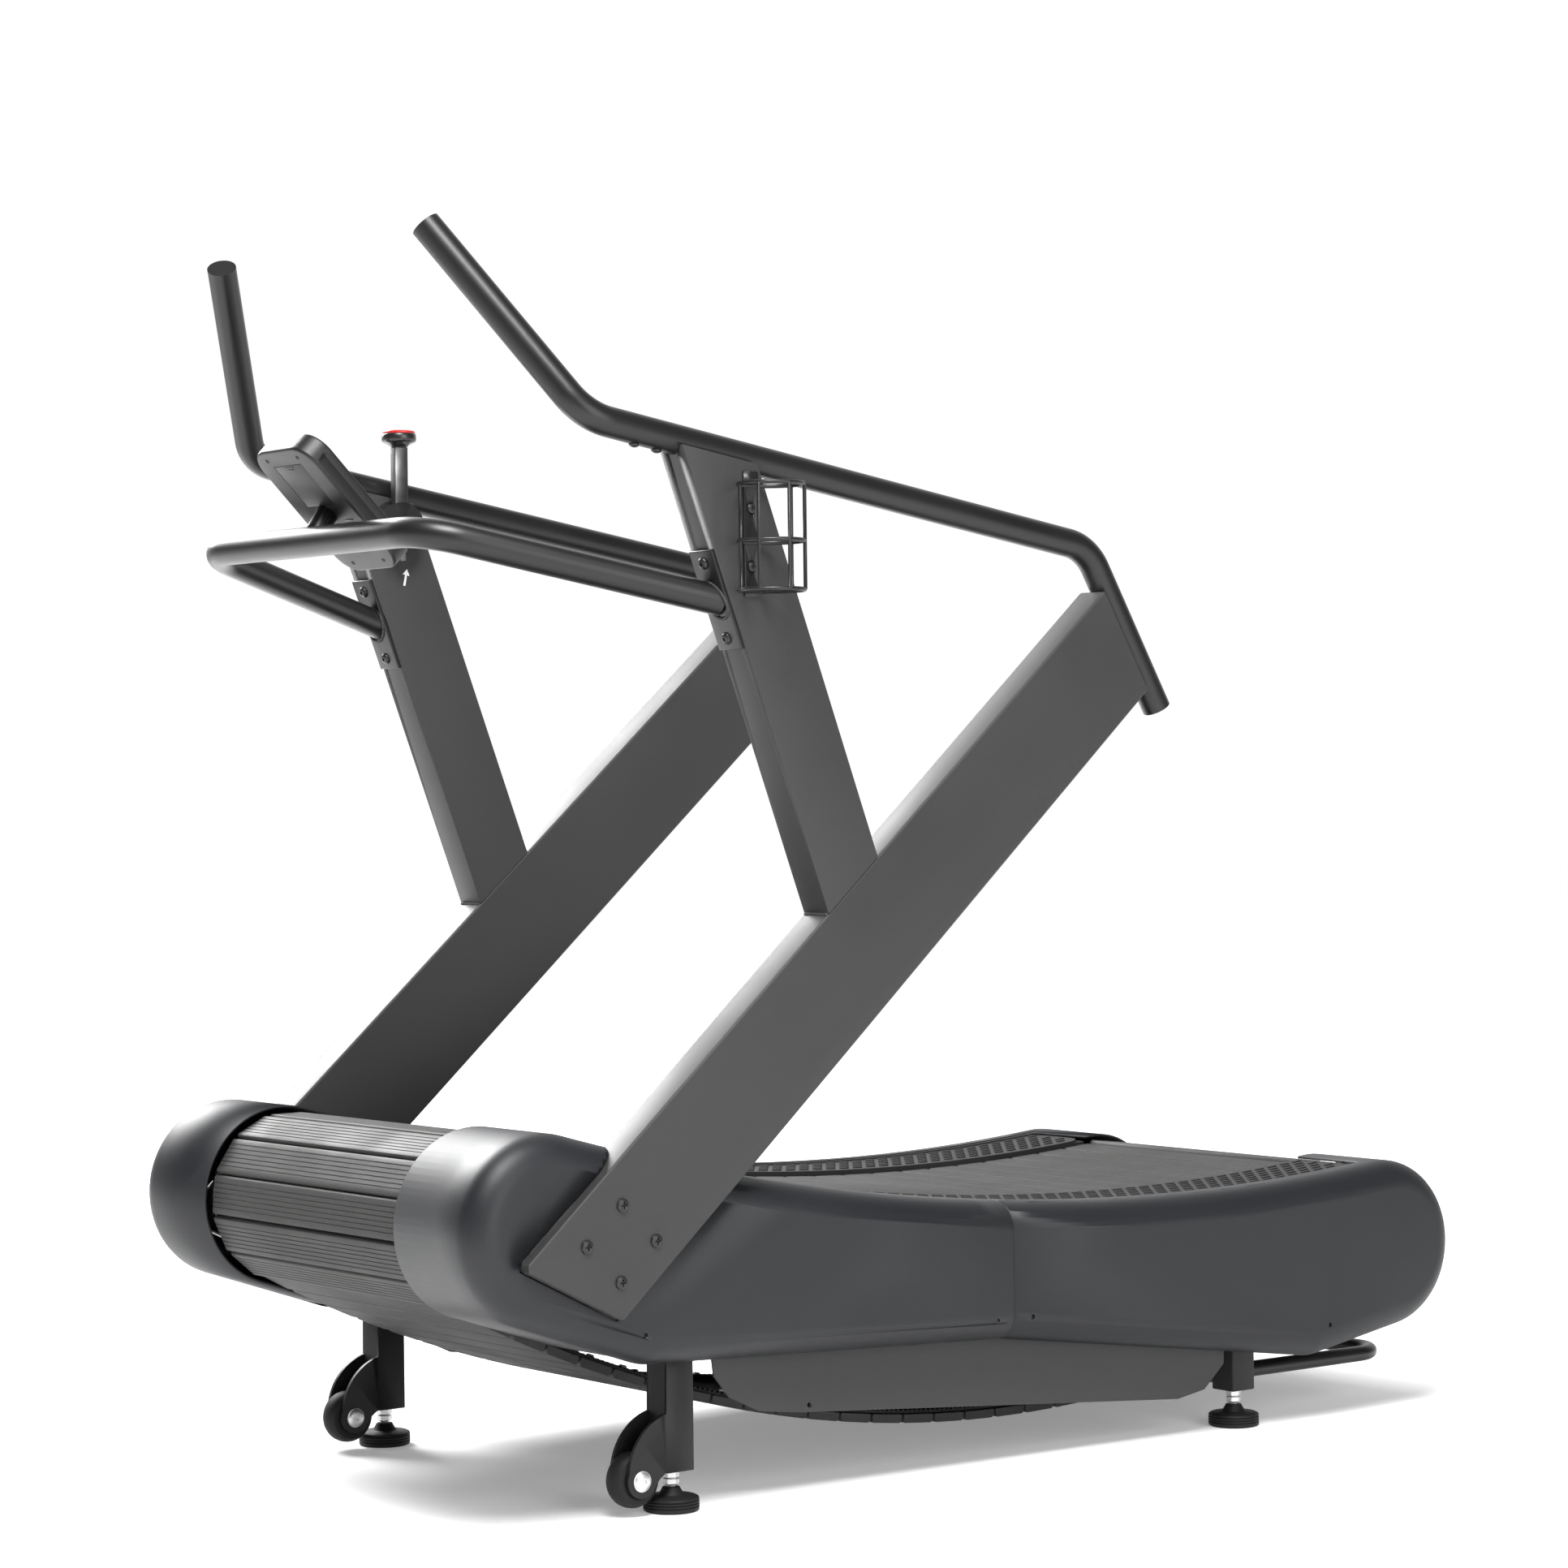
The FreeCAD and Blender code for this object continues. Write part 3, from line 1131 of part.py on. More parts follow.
# ---- build --------------------------------------------------------------------------------
def build():
    os.makedirs("parts", exist_ok=True)
    screws = beam_screws()
    beam_shape = beam()
    left_post = post()
    for name, side in SIDES:
        save(name + "_beam", mirrored(beam_shape, side).cut(screws))
        save(name + "_post", mirrored(left_post, side))
        save(name + "_top_rail", mirrored(top_rail(), side))
        save(name + "_horn", mirrored(horn(), side))
        save(name + "_tread_strip", tread_strip(side))
        save(name + "_wheel", wheel(side))
        for end in ("front", "rear"):
            save(name + "_" + end + "_cowl", mirrored(cowl(end), side))
        save("front_" + name + "_foot", foot(-FOOT_X, side))
        save("rear_" + name + "_foot", foot(FOOT_X, side))
    save("side_rails", side_rails())
    save("cross_members", cross_members())
    save("axle_plates", axle_plates())
    save("front_legs", front_legs())
    save("rear_legs", rear_legs())
    save("guard_plates", guard_plates())
    save("lift_handle", lift_handle())
    save("tube_end_caps", tube_end_caps())
    save("front_handlebar", front_handlebar())
    save("handlebar_flanges", Part.makeCompound([flange(-1), flange(1)]))
    save("button_bolts", button_bolts())
    save("beam_screws", screws)
    save("cowl_screws", cowl_screws())
    save("wheel_bolts", wheel_bolts())
    save("foot_nuts", foot_nuts())
    save("console_stalk", console_stalk())
    save("console_back", console_back())
    save("console_front", console_front())
    save("console_screen", console_screen())
    save("battery_door", battery_door())
    for name, y in KEY_SPOTS:
        save(name, console_key(y))
    save("resistance_quadrant", resistance_quadrant())
    save("resistance_lever", resistance_lever())
    save("lever_knob", lever_knob())
    save("lever_cap", lever_cap())
    save("magnet_yoke", magnet_yoke())
    save("brake_disc", brake_disc())
    save("front_axle", axle(FRONT_DRUM))
    save("rear_axle", axle(REAR_DRUM))
    save("front_pulleys", drum_pulleys(FRONT_DRUM))
    save("rear_pulleys", drum_pulleys(REAR_DRUM))
    save("axle_bearings", axle_bearings())
    save("guide_rails", guide_rails())
    save("guide_bearings", guide_bearings())
    save("belt_slats", belt_slats())
    save("slat_bolts", slat_bolts())
    save("toothed_belts", toothed_belts())
    save("bottle_cage", bottle_cage().cut(screws))


build()
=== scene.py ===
import math

import bmesh
import bpy
from mathutils import Matrix, Vector


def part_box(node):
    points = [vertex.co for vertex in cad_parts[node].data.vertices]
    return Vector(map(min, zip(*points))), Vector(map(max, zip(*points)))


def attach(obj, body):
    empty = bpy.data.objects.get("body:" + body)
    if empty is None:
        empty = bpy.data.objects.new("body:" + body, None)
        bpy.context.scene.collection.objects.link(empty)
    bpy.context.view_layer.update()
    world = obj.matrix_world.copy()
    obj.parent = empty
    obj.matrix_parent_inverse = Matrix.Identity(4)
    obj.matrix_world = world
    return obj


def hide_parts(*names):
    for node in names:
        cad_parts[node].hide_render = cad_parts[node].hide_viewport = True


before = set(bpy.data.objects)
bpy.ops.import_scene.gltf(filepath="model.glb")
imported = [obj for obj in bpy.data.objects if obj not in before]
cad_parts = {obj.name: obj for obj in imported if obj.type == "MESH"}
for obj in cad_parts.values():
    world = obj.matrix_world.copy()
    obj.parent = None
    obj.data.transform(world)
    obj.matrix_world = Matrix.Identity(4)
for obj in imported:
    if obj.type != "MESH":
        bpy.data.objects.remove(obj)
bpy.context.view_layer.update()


# ---- room -----------------------------------------------------------------------------------
# A plain pale studio: a broad white floor that glows as painted light, dim near the machine and brighter
# further away, a surround that is white behind the machine and dim on the camera's side, and three large
# soft lights: high in front, on the left, and behind on the right.
class Value:
    """An output socket; plain sums of values become Math nodes in its tree."""

    def __init__(self, graph, socket):
        self.graph, self.socket = graph, socket

    def join(self, operation, first, second=0.0):
        return self.graph.node("ShaderNodeMath", {"operation": operation}, {0: first, 1: second})

    def __add__(self, other):
        return self.join("ADD", self, other)

    def __radd__(self, other):
        return self.join("ADD", other, self)

    def __sub__(self, other):
        return self.join("SUBTRACT", self, other)

    def __rsub__(self, other):
        return self.join("SUBTRACT", other, self)

    def __mul__(self, other):
        return self.join("MULTIPLY", self, other)

    def __rmul__(self, other):
        return self.join("MULTIPLY", other, self)

    def __truediv__(self, other):
        return self.join("DIVIDE", self, other)

    def __mod__(self, other):
        return self.join("FLOORED_MODULO", self, other)

    def __abs__(self):
        return self.join("ABSOLUTE", self)

    def floor(self):
        return self.join("FLOOR", self)

    def ramp(self, low, high, start=0.0, end=1.0):
        """Runs smoothly from start to end as the value goes from low to high."""
        return self.graph.node("ShaderNodeMapRange", {"interpolation_type": "SMOOTHSTEP"},
                               {0: self, 1: low, 2: high, 3: start, 4: end})


class Graph:
    """A node tree, filled one node at a time: type, settings, then values or links."""

    def __init__(self, tree):
        self.tree = tree

    def node(self, kind, settings=None, inputs=None, output=0):
        made = self.tree.nodes.new(kind)
        for key, setting in (settings or {}).items():
            setattr(made, key, setting)
        for key, item in (inputs or {}).items():
            if isinstance(item, Value):
                self.tree.links.new(item.socket, made.inputs[key])
            else:
                made.inputs[key].default_value = item
        return Value(self, made.outputs[output])


class Finish(Graph):
    """A Principled material worked out in the piece's own metres."""

    def __init__(self, name, **constants):
        self.material = bpy.data.materials.new(name)
        self.material.use_nodes = True
        super().__init__(self.material.node_tree)
        self.shader = self.tree.nodes["Principled BSDF"]
        self.place = self.node("ShaderNodeTexCoord", output="Object")
        for key, item in constants.items():
            self.shader.inputs[key.replace("_", " ").title().replace("Ior", "IOR")].default_value = item

    def axes(self, source=None):
        parts = self.node("ShaderNodeSeparateXYZ", inputs={0: source or self.place})
        outputs = parts.socket.node.outputs
        return [Value(self, outputs[i]) for i in range(3)]

    def local(self):
        """Place within the repeated shape, kept on its vertices."""
        return self.node("ShaderNodeAttribute", {"attribute_name": "local"}, output="Vector")

    def stretched(self, scale):
        return self.node("ShaderNodeMapping", inputs={"Vector": self.place, "Scale": scale})

    def noise(self, scale, detail=2.0, place=None, rough=0.5):
        return self.node("ShaderNodeTexNoise", inputs={
            "Vector": place or self.place, "Scale": scale, "Detail": detail, "Roughness": rough})

    def cells(self, scale, place=None):
        return self.node("ShaderNodeTexVoronoi", inputs={"Vector": place or self.place, "Scale": scale})

    def blend(self, factor, first, second):
        """Colour between two colours."""
        return self.node("ShaderNodeMix", {"data_type": "RGBA"}, {0: factor, 6: first, 7: second}, 2)

    def wire(self, name, value):
        self.tree.links.new(value.socket, self.shader.inputs[name])

    def done(self, colour=None, roughness=None, height=None, depth=0.0002, metallic=None):
        for name, value in (("Base Color", colour), ("Roughness", roughness), ("Metallic", metallic)):
            if value is not None:
                self.wire(name, value)
        if height is not None:
            self.wire("Normal", self.node("ShaderNodeBump", inputs={"Distance": depth, "Height": height}))
        return self.material


def grey(level, tint=(1.0, 1.0, 1.0)):
    return (level * tint[0], level * tint[1], level * tint[2], 1.0)


def piece(name, mesh, material, body=None, nodes=(), crease=38.0):
    """Puts a finished mesh in the scene, ties it to its body and hides the CAD nodes it stands for."""
    made = bpy.data.objects.new(name, mesh)
    bpy.context.scene.collection.objects.link(made)
    if material is not None:
        mesh.materials.clear()
        mesh.materials.append(material)
    mesh.polygons.foreach_set("use_smooth", [True] * len(mesh.polygons))
    mesh.set_sharp_from_angle(angle=math.radians(crease))
    if body:
        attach(made, body)
    if nodes:
        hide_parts(*nodes)
    return made


def to_mesh(name, bm):
    """Closes a bmesh into a mesh with its faces outward."""
    bmesh.ops.recalc_face_normals(bm, faces=bm.faces[:])
    mesh = bpy.data.meshes.new(name)
    bm.to_mesh(mesh)
    bm.free()
    return mesh


def build_room():
    view_turn, view_way = -38.12, (0.617, 0.787, 0.0)
    floor_finish = Finish("studio_floor", specular_ior_level=0.1, emission_strength=1.0)
    cloud = floor_finish.noise(1.3, 3.0)
    away = floor_finish.node("ShaderNodeVectorMath", {"operation": "LENGTH"}, {0: floor_finish.place}, 1)
    # Painted light: the floor glows, dim near the machine and brighter with distance from it.
    floor_finish.wire("Emission Color", away.ramp(1.2, 4.5, 0.25, 0.75))
    floor_finish.done(floor_finish.blend(cloud, grey(0.86), grey(0.88)), cloud * 0.06 + 0.85,
                      floor_finish.noise(260.0), 0.0001)
    bm = bmesh.new()
    bmesh.ops.create_grid(bm, x_segments=24, y_segments=24, size=30.0)
    piece("floor", to_mesh("floor", bm), floor_finish.material)

    world = bpy.data.worlds.new("studio")
    world.use_nodes = True
    surround = Graph(world.node_tree)
    way = surround.node("ShaderNodeTexCoord", output="Generated")
    across = surround.node("ShaderNodeVectorMath", {"operation": "DOT_PRODUCT"}, {0: way, 1: view_way}, 1)
    backdrop = world.node_tree.nodes["Background"].inputs["Color"]
    world.node_tree.links.new(across.ramp(0.35, 0.85, 0.14, 1.02).socket, backdrop)
    bpy.context.scene.world = world
    bpy.context.scene.view_settings.view_transform = "Standard"

    middle = Vector((0.0, 0.0, 0.7))
    for name, place, size, watts in (("key_light", (-1.7, -2.0, 4.3), 1.8, 330.0),
                                     ("side_light", (-0.2, -4.8, 2.0), 3.0, 110.0),
                                     ("rear_light", (-0.4, 4.0, 3.4), 2.4, 460.0)):
        lamp = bpy.data.lights.new(name, "AREA")
        lamp.shape, lamp.size, lamp.energy = "SQUARE", size, watts
        holder = bpy.data.objects.new(name, lamp)
        holder.location = place
        holder.rotation_euler = (middle - Vector(place)).to_track_quat("-Z", "Y").to_euler()
        bpy.context.scene.collection.objects.link(holder)

    camera = bpy.data.objects.new("camera", bpy.data.cameras.new("camera"))
    camera.data.lens, camera.data.sensor_width = 91.0, 36.0
    camera.data.clip_end = 60.0
    turn = Matrix.Rotation(math.radians(view_turn), 4, "Z") @ Matrix.Rotation(math.radians(90.0), 4, "X")
    camera.matrix_world = (Matrix.Translation((-3.399, -4.285, 0.898)) @ turn
                           @ Matrix.Rotation(math.radians(-0.65), 4, "Z"))
    bpy.context.scene.collection.objects.link(camera)
    bpy.context.scene.camera = camera


build_room()


# ---- welded frame ---------------------------------------------------------------------------
# Two sloping box-tube beams and two leaning posts, welded steel with rolled corners, sprayed with
# a matt charcoal powder coat that leaves a fine orange-peel grain.
def textured_coat(name, level, grain=0.00009, rough=0.44):
    finish = Finish(name, specular_ior_level=0.32)
    fine = finish.noise(900.0, 3.0, rough=0.6)
    speck = finish.cells(420.0)
    broad = finish.noise(3.5, 4.0)
    tone = broad * 0.5 + fine * 0.5
    colour = finish.blend(tone, grey(level * 0.72, (1.0, 1.0, 1.03)), grey(level * 1.3, (1.0, 1.0, 1.02)))
    gloss = broad.ramp(0.3, 0.7, rough - 0.05, rough + 0.07) + fine * 0.06
    return finish.done(colour, gloss, fine * 0.7 + speck * 0.5, grain)


def refined(node, width=0.0, shortest=0.02, segments=3):
    """Copy of a CAD node with its triangles merged and, given a width, its long edges rolled."""
    bm = bmesh.new()
    bm.from_mesh(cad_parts[node].data)
    bmesh.ops.remove_doubles(bm, verts=bm.verts[:], dist=0.00002)
    bmesh.ops.dissolve_limit(bm, angle_limit=math.radians(0.6), verts=bm.verts[:], edges=bm.edges[:])
    if width:
        rolled = [e for e in bm.edges if e.is_manifold and e.calc_length() > shortest
                  and e.calc_face_angle() > math.radians(35)]
        bmesh.ops.bevel(bm, geom=rolled, offset=width, offset_type="OFFSET", segments=segments,
                        profile=0.5, affect="EDGES", clamp_overlap=True)
    bmesh.ops.triangulate(bm, faces=[f for f in bm.faces if len(f.verts) > 4])
    return to_mesh(node, bm)


frame_coat = textured_coat("frame_coat", 0.032)
for side in ("left", "right"):
    for part in ("beam", "post"):
        node = side + "_" + part
        piece("look_" + node, refined(node, 0.004), frame_coat, "frame", [node])
for node in ("side_rails", "cross_members", "axle_plates", "guide_rails"):
    piece("look_" + node, refined(node, 0.002), frame_coat, "frame", [node])


# ---- rails, horns and handlebar -------------------------------------------------------------
# Bent round steel tube with a smoother satin black coat, push-in end plugs, and bolted flanges.
def satin_coat(name, level):
    finish = Finish(name, specular_ior_level=0.4, coat_weight=0.05, coat_roughness=0.25)
    fine = finish.noise(1300.0, 2.0)
    broad = finish.noise(5.0, 4.0)
    colour = finish.blend(broad, grey(level * 0.75), grey(level * 1.35, (1.0, 1.0, 1.04)))
    return finish.done(colour, broad * 0.14 + 0.3, fine, 0.000004)


tube_coat = satin_coat("tube_coat", 0.006)


def heading(degrees):
    """Unit direction in the XZ plane, measured upwards from +X."""
    return Vector((math.cos(math.radians(degrees)), 0.0, math.sin(math.radians(degrees))))


def islands(node):
    """Box of each separate solid of a CAD node, as (low, high) corners."""
    bm = bmesh.new()
    bm.from_mesh(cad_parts[node].data)
    bmesh.ops.remove_doubles(bm, verts=bm.verts[:], dist=0.00002)
    left, found = set(bm.verts), []
    while left:
        stack, group = [left.pop()], []
        while stack:
            vertex = stack.pop()
            group.append(vertex.co.copy())
            near = {e.other_vert(vertex) for e in vertex.link_edges} & left
            left -= near
            stack += near
        found.append((Vector([min(p[i] for p in group) for i in range(3)]),
                      Vector([max(p[i] for p in group) for i in range(3)])))
    bm.free()
    return sorted(found, key=lambda pair: tuple(round(v, 4) for v in pair[0]))


def bridge(bm, rings):
    """Joins rings of vertices in turn with quads."""
    for low, high in zip(rings, rings[1:]):
        for i in range(len(low)):
            bm.faces.new((low[i - 1], low[i], high[i], high[i - 1]))


def bar(name, corners, bend, radius):
    """Round bar along straight runs that arcs of one radius join."""
    sides, step = 48, 0.03
    path = [corners[0]]
    for before, corner, after in zip(corners, corners[1:], corners[2:]):
        back, on = (before - corner).normalized(), (after - corner).normalized()
        half = back.angle(on) / 2
        centre = corner + (back + on).normalized() * bend / math.sin(half)
        first, last = [(corner + way * bend / math.tan(half) - centre).normalized() for way in (back, on)]
        runs = max(1, round((corner + back * bend / math.tan(half) - path[-1]).length / step))
        path += [path[-1].lerp(centre + first * bend, k / runs) for k in range(1, runs)]
        path += [centre + first.slerp(last, k / 12) * bend for k in range(13)]
    runs = max(1, round((corners[-1] - path[-1]).length / step))
    path += [path[-1].lerp(corners[-1], k / runs) for k in range(1, runs + 1)]
    bm = bmesh.new()
    way = (path[1] - path[0]).normalized()
    side = way.orthogonal().normalized()
    rings = []
    for i, spot in enumerate(path):
        ahead = (path[min(i + 1, len(path) - 1)] - path[max(i - 1, 0)]).normalized()
        side.rotate(way.rotation_difference(ahead))
        way = ahead
        turns = [2 * math.pi * k / sides for k in range(sides)]
        rings.append([bm.verts.new(spot + (side * math.cos(a) + way.cross(side) * math.sin(a)) * radius)
                      for a in turns])
    bridge(bm, rings)
    bm.faces.new(rings[0])
    bm.faces.new(rings[-1])
    return to_mesh(name, bm)


def build_rails():
    beam_foot, beam_slope, beam_length, head_cut = Vector((-0.761, 0.0, 0.327)), 41.1, 1.252, -59.6
    beam_depth, overhang = 0.15, 0.035
    radius, rail_slope, middle = 0.019, -9.5, 0.391
    joint, drop = Vector((-0.507, 0.0, 1.321)), heading(head_cut)
    beside = beam_foot + heading(beam_slope) * beam_length + heading(90 + head_cut) * (radius + 0.0003)
    way, gap = heading(rail_slope), beside - joint
    corner = joint + way * ((gap.x * drop.z - gap.z * drop.x) / (way.x * drop.z - way.z * drop.x))
    tail = beside + drop * (beam_depth / math.sin(math.radians(beam_slope - head_cut)) + overhang)
    for side, sign in (("left", -1), ("right", 1)):
        out = Vector((0.0, sign * middle, 0.0))
        rail = bar("top_rail", [joint + out, corner + out, tail + out], 0.07, radius)
        piece("look_" + side + "_top_rail", rail, tube_coat, "frame", [side + "_top_rail"])
        tip = Vector((-0.769, sign * 0.246, 1.578))
        horn = bar("horn", [joint + out, joint + out - way * 0.136, tip], 0.062, radius)
        piece("look_" + side + "_horn", horn, tube_coat, "frame", [side + "_horn"])
    roots = [(low + high) / 2 for low, high in islands("handlebar_flanges")]
    corners = [Vector((-0.788, y, 1.209)) for y in (-0.255, 0.255)]
    ends = [root + (root - bend).normalized() * 0.006 for root, bend in zip(roots, corners)]
    piece("look_front_handlebar", bar("handlebar", [ends[0], *corners, ends[1]], 0.075, radius), tube_coat,
          "frame", ["front_handlebar"])


for node in ("console_stalk", "lift_handle"):
    piece("look_" + node, refined(node), tube_coat, "frame", [node])
piece("look_handlebar_flanges", refined("handlebar_flanges", 0.0015), tube_coat, "frame",
      ["handlebar_flanges"])
plug_plastic = satin_coat("plug_plastic", 0.007)
piece("look_tube_end_caps", refined("tube_end_caps"), plug_plastic, "frame", ["tube_end_caps"])


build_rails()


# ---- welds ----------------------------------------------------------------------------------
# Welds at the posts' feet and heads and round the handlebar's ends: small overlapping beads of
# steel, coated with the parts they join.
class Recipe(Graph):
    """A Geometry Nodes tree with named inputs, which leaves a plain mesh."""

    def __init__(self, name, **kinds):
        tree = bpy.data.node_groups.new(name, "GeometryNodeTree")
        tree.interface.new_socket("Geometry", in_out="OUTPUT", socket_type="NodeSocketGeometry")
        self.keys = {key: tree.interface.new_socket(key, socket_type="NodeSocket" + kind).identifier
                     for key, kind in kinds.items()}
        super().__init__(tree)
        entry = tree.nodes.new("NodeGroupInput")
        self.given = {s.name: Value(self, s) for s in entry.outputs if s.name in kinds}

    def shape_of(self, key):
        return self.node("GeometryNodeObjectInfo", inputs={"Object": self.given[key]}, output="Geometry")

    def close(self, geometry):
        solid = self.node("GeometryNodeRealizeInstances", inputs={0: geometry})
        painted = self.node("GeometryNodeSetMaterial", inputs={0: solid, "Material": self.given["Material"]})
        leave = self.tree.nodes.new("NodeGroupOutput")
        self.tree.links.new(painted.socket, leave.inputs[0])

    def make(self, name, **values):
        host = bpy.data.objects.new(name, bpy.data.meshes.new(name))
        bpy.context.scene.collection.objects.link(host)
        step = host.modifiers.new("build", "NODES")
        step.node_group = self.tree
        for key, value in values.items():
            step[self.keys[key]] = value
        bpy.context.view_layer.update()
        depsgraph = bpy.context.evaluated_depsgraph_get()
        mesh = bpy.data.meshes.new_from_object(host.evaluated_get(depsgraph), depsgraph=depsgraph,
                                               preserve_all_data_layers=True)
        bpy.data.objects.remove(host)
        for value in values.values():
            if isinstance(value, bpy.types.Object):
                bpy.data.objects.remove(value)
        return mesh


def polyline(name, points, closed=False):
    """Scratch curve for a tree to walk along."""
    curve = bpy.data.curves.new(name, "CURVE")
    curve.dimensions = "3D"
    spline = curve.splines.new("POLY")
    spline.points.add(len(points) - 1)
    spline.use_cyclic_u = closed
    for knot, place in zip(spline.points, points):
        knot.co = (*place, 1.0)
    made = bpy.data.objects.new(name, curve)
    bpy.context.scene.collection.objects.link(made)
    return made


def scratch(name, bm, local=True):
    """Scratch object for a tree to repeat; its vertices keep their own place as an attribute."""
    mesh = to_mesh(name, bm)
    if local:
        kept = mesh.attributes.new("local", "FLOAT_VECTOR", "POINT")
        for item, vertex in zip(kept.data, mesh.vertices):
            item.vector = vertex.co
    made = bpy.data.objects.new(name, mesh)
    bpy.context.scene.collection.objects.link(made)
    return made


def joined(name, meshes):
    """One mesh from several."""
    bm = bmesh.new()
    for mesh in meshes:
        bm.from_mesh(mesh)
    whole = bpy.data.meshes.new(name)
    bm.to_mesh(whole)
    bm.free()
    return whole


def weld_recipe():
    recipe = Recipe("weld_run", Path="Object", Bead="Object", Spacing="Float", Seed="Int",
                    Material="Material")
    line = recipe.node("GeometryNodeResampleCurve", {"mode": "LENGTH"}, {
        "Curve": recipe.shape_of("Path"), "Length": recipe.given["Spacing"]})
    way = recipe.node("GeometryNodeInputTangent")
    turn = recipe.node("FunctionNodeAlignRotationToVector", {"axis": "Z"}, {"Vector": way})
    size = recipe.node("FunctionNodeRandomValue", {"data_type": "FLOAT"}, {
        2: 0.82, 3: 1.12, "Seed": recipe.given["Seed"]}, output=1)
    recipe.close(recipe.node("GeometryNodeInstanceOnPoints", inputs={
        "Points": line, "Instance": recipe.shape_of("Bead"), "Rotation": turn, "Scale": size}))
    return recipe


def weld_lines():
    """Paths at the posts' feet, under the horn joints and round the handlebar's ends."""
    radius, beam_way, slope = 0.019, heading(41.1), heading(-9.5)
    normal = heading(200.8)
    under = Vector((slope.z, 0.0, -slope.x))
    lines = []
    for sign, side in ((-1, "left"), (1, "right")):
        low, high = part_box(side + "_post")
        rear = Vector((high.x, 0.0, low.z + 0.0701))
        front = rear - beam_way * 0.1066
        for spot in (front - beam_way * 0.0012, rear + beam_way * 0.0012):
            lines.append([Vector((spot.x, y, spot.z)) for y in (low.y + 0.004, high.y - 0.004)])
        rail_low, rail_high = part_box(side + "_top_rail")
        centre_y = (rail_low.y + rail_high.y) / 2
        joint = Vector((-0.507, centre_y, 1.321))
        for offset in (-1, 1):
            lines.append([joint + slope * s + under * 0.0105 + Vector((0.0, offset * 0.0168, 0.0))
                          for s in (0.004, 0.098)])
    for low, high in islands("handlebar_flanges"):
        middle = (low + high) / 2 + normal * 0.0032
        way = (Vector((-0.788, math.copysign(0.255, middle.y), 1.209)) - middle).normalized()
        across = way.cross(Vector((0.0, 0.0, 1.0))).normalized()
        up = across.cross(way)
        loop = []
        for i in range(25):
            angle = 2 * math.pi * i / 24
            spot = (across * math.cos(angle) + up * math.sin(angle)) * (radius + 0.0006)
            loop.append(middle + spot - way * (spot.dot(normal) / way.dot(normal)))
        lines.append(loop)
    return lines


def build_welds():
    recipe = weld_recipe()
    parts = []
    for number, line in enumerate(weld_lines()):
        bm = bmesh.new()
        bmesh.ops.create_icosphere(bm, subdivisions=2, radius=0.0024)
        bmesh.ops.scale(bm, vec=(1.0, 1.0, 0.8), verts=bm.verts[:])
        parts.append(recipe.make("weld", Path=polyline("weld_path", line), Bead=scratch("bead", bm),
                                 Spacing=0.0016, Seed=number, Material=frame_coat))
    return joined("welds", parts)


piece("welds", build_welds(), frame_coat, "frame")


# ---- belt -----------------------------------------------------------------------------------
# Sixty-seven ribbed rubber slats bolted across two toothed belts, which run over the front drum,
# the hollow deck, the rear drum and back along a free hanging run below.
class Loop:
    """The belt's closed path of four tangent arcs, at a depth below the running surface."""

    def __init__(self, inset=0.0):
        front, rear = [sum(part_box(end + "_axle"), Vector()) / 2 for end in ("front", "rear")]
        drum, deck, sag = 0.108, 3.8, 1.95
        half = (rear - front).length / 2
        middle, way = (front + rear) / 2, (rear - front).normalized()
        normal = Vector((-way.z, 0.0, way.x))
        self.hollow = middle + normal * math.sqrt((deck + drum) ** 2 - half ** 2)
        hang = middle + normal * math.sqrt((sag - drum) ** 2 - half ** 2)
        wheel = drum - inset
        tops = [p + (self.hollow - p).normalized() * wheel for p in (front, rear)]
        feet = [p + (p - hang).normalized() * wheel for p in (front, rear)]
        self.radius = deck + inset
        self.arcs = ((self.hollow, self.radius, tops[0], tops[1], 1), (rear, wheel, tops[1], feet[1], -1),
                     (hang, sag - inset, feet[1], feet[0], -1), (front, wheel, feet[0], tops[0], -1))
        self.ends = (tops[0].x, tops[1].x)

    def points(self, count, start=0.0):
        """Even places round the path."""
        spans = []
        for centre, radius, first, last, turn in self.arcs:
            a = math.atan2(first.z - centre.z, first.x - centre.x)
            b = math.atan2(last.z - centre.z, last.x - centre.x)
            spans.append((centre, radius, a, (b - a) * turn % (2 * math.pi), turn))
        total = sum(radius * sweep for _, radius, _, sweep, _ in spans)
        found = []
        for i in range(count):
            left = (start + i / count) % 1.0 * total
            for centre, radius, a, sweep, turn in spans:
                if left <= radius * sweep:
                    angle = a + left / radius * turn
                    found.append(centre + Vector((math.cos(angle), 0.0, math.sin(angle))) * radius)
                    break
                left -= radius * sweep
        return found, total

    def deck(self, x):
        return self.hollow.z - math.sqrt(self.radius ** 2 - (x - self.hollow.x) ** 2)


def turned(bm, profile, place=Matrix(), segments=40):
    """Adds a turned shape about +Z: (radius, height) pairs, a radius being a number or a rule."""
    rings = []
    for radius, height in profile:
        if radius == 0.0:
            rings.append([bm.verts.new(place @ Vector((0.0, 0.0, height)))])
            continue
        ring = []
        for i in range(segments):
            angle = 2 * math.pi * i / segments
            reach = radius(angle) if callable(radius) else radius
            spot = Vector((reach * math.cos(angle), reach * math.sin(angle), height))
            ring.append(bm.verts.new(place @ spot))
        rings.append(ring)
    for low, high in zip(rings, rings[1:]):
        for i in range(segments):
            j = (i + 1) % segments
            corners = [low[i % len(low)], low[j % len(low)], high[j % len(high)], high[i % len(high)]]
            unique = list(dict.fromkeys(corners))
            if len(unique) > 2:
                bm.faces.new(unique)


def hexagon(across):
    """Rule for a hexagon's radius, by its width across the flats."""
    return lambda a: across / 2 / math.cos((a + math.pi / 6) % (math.pi / 3) - math.pi / 6)


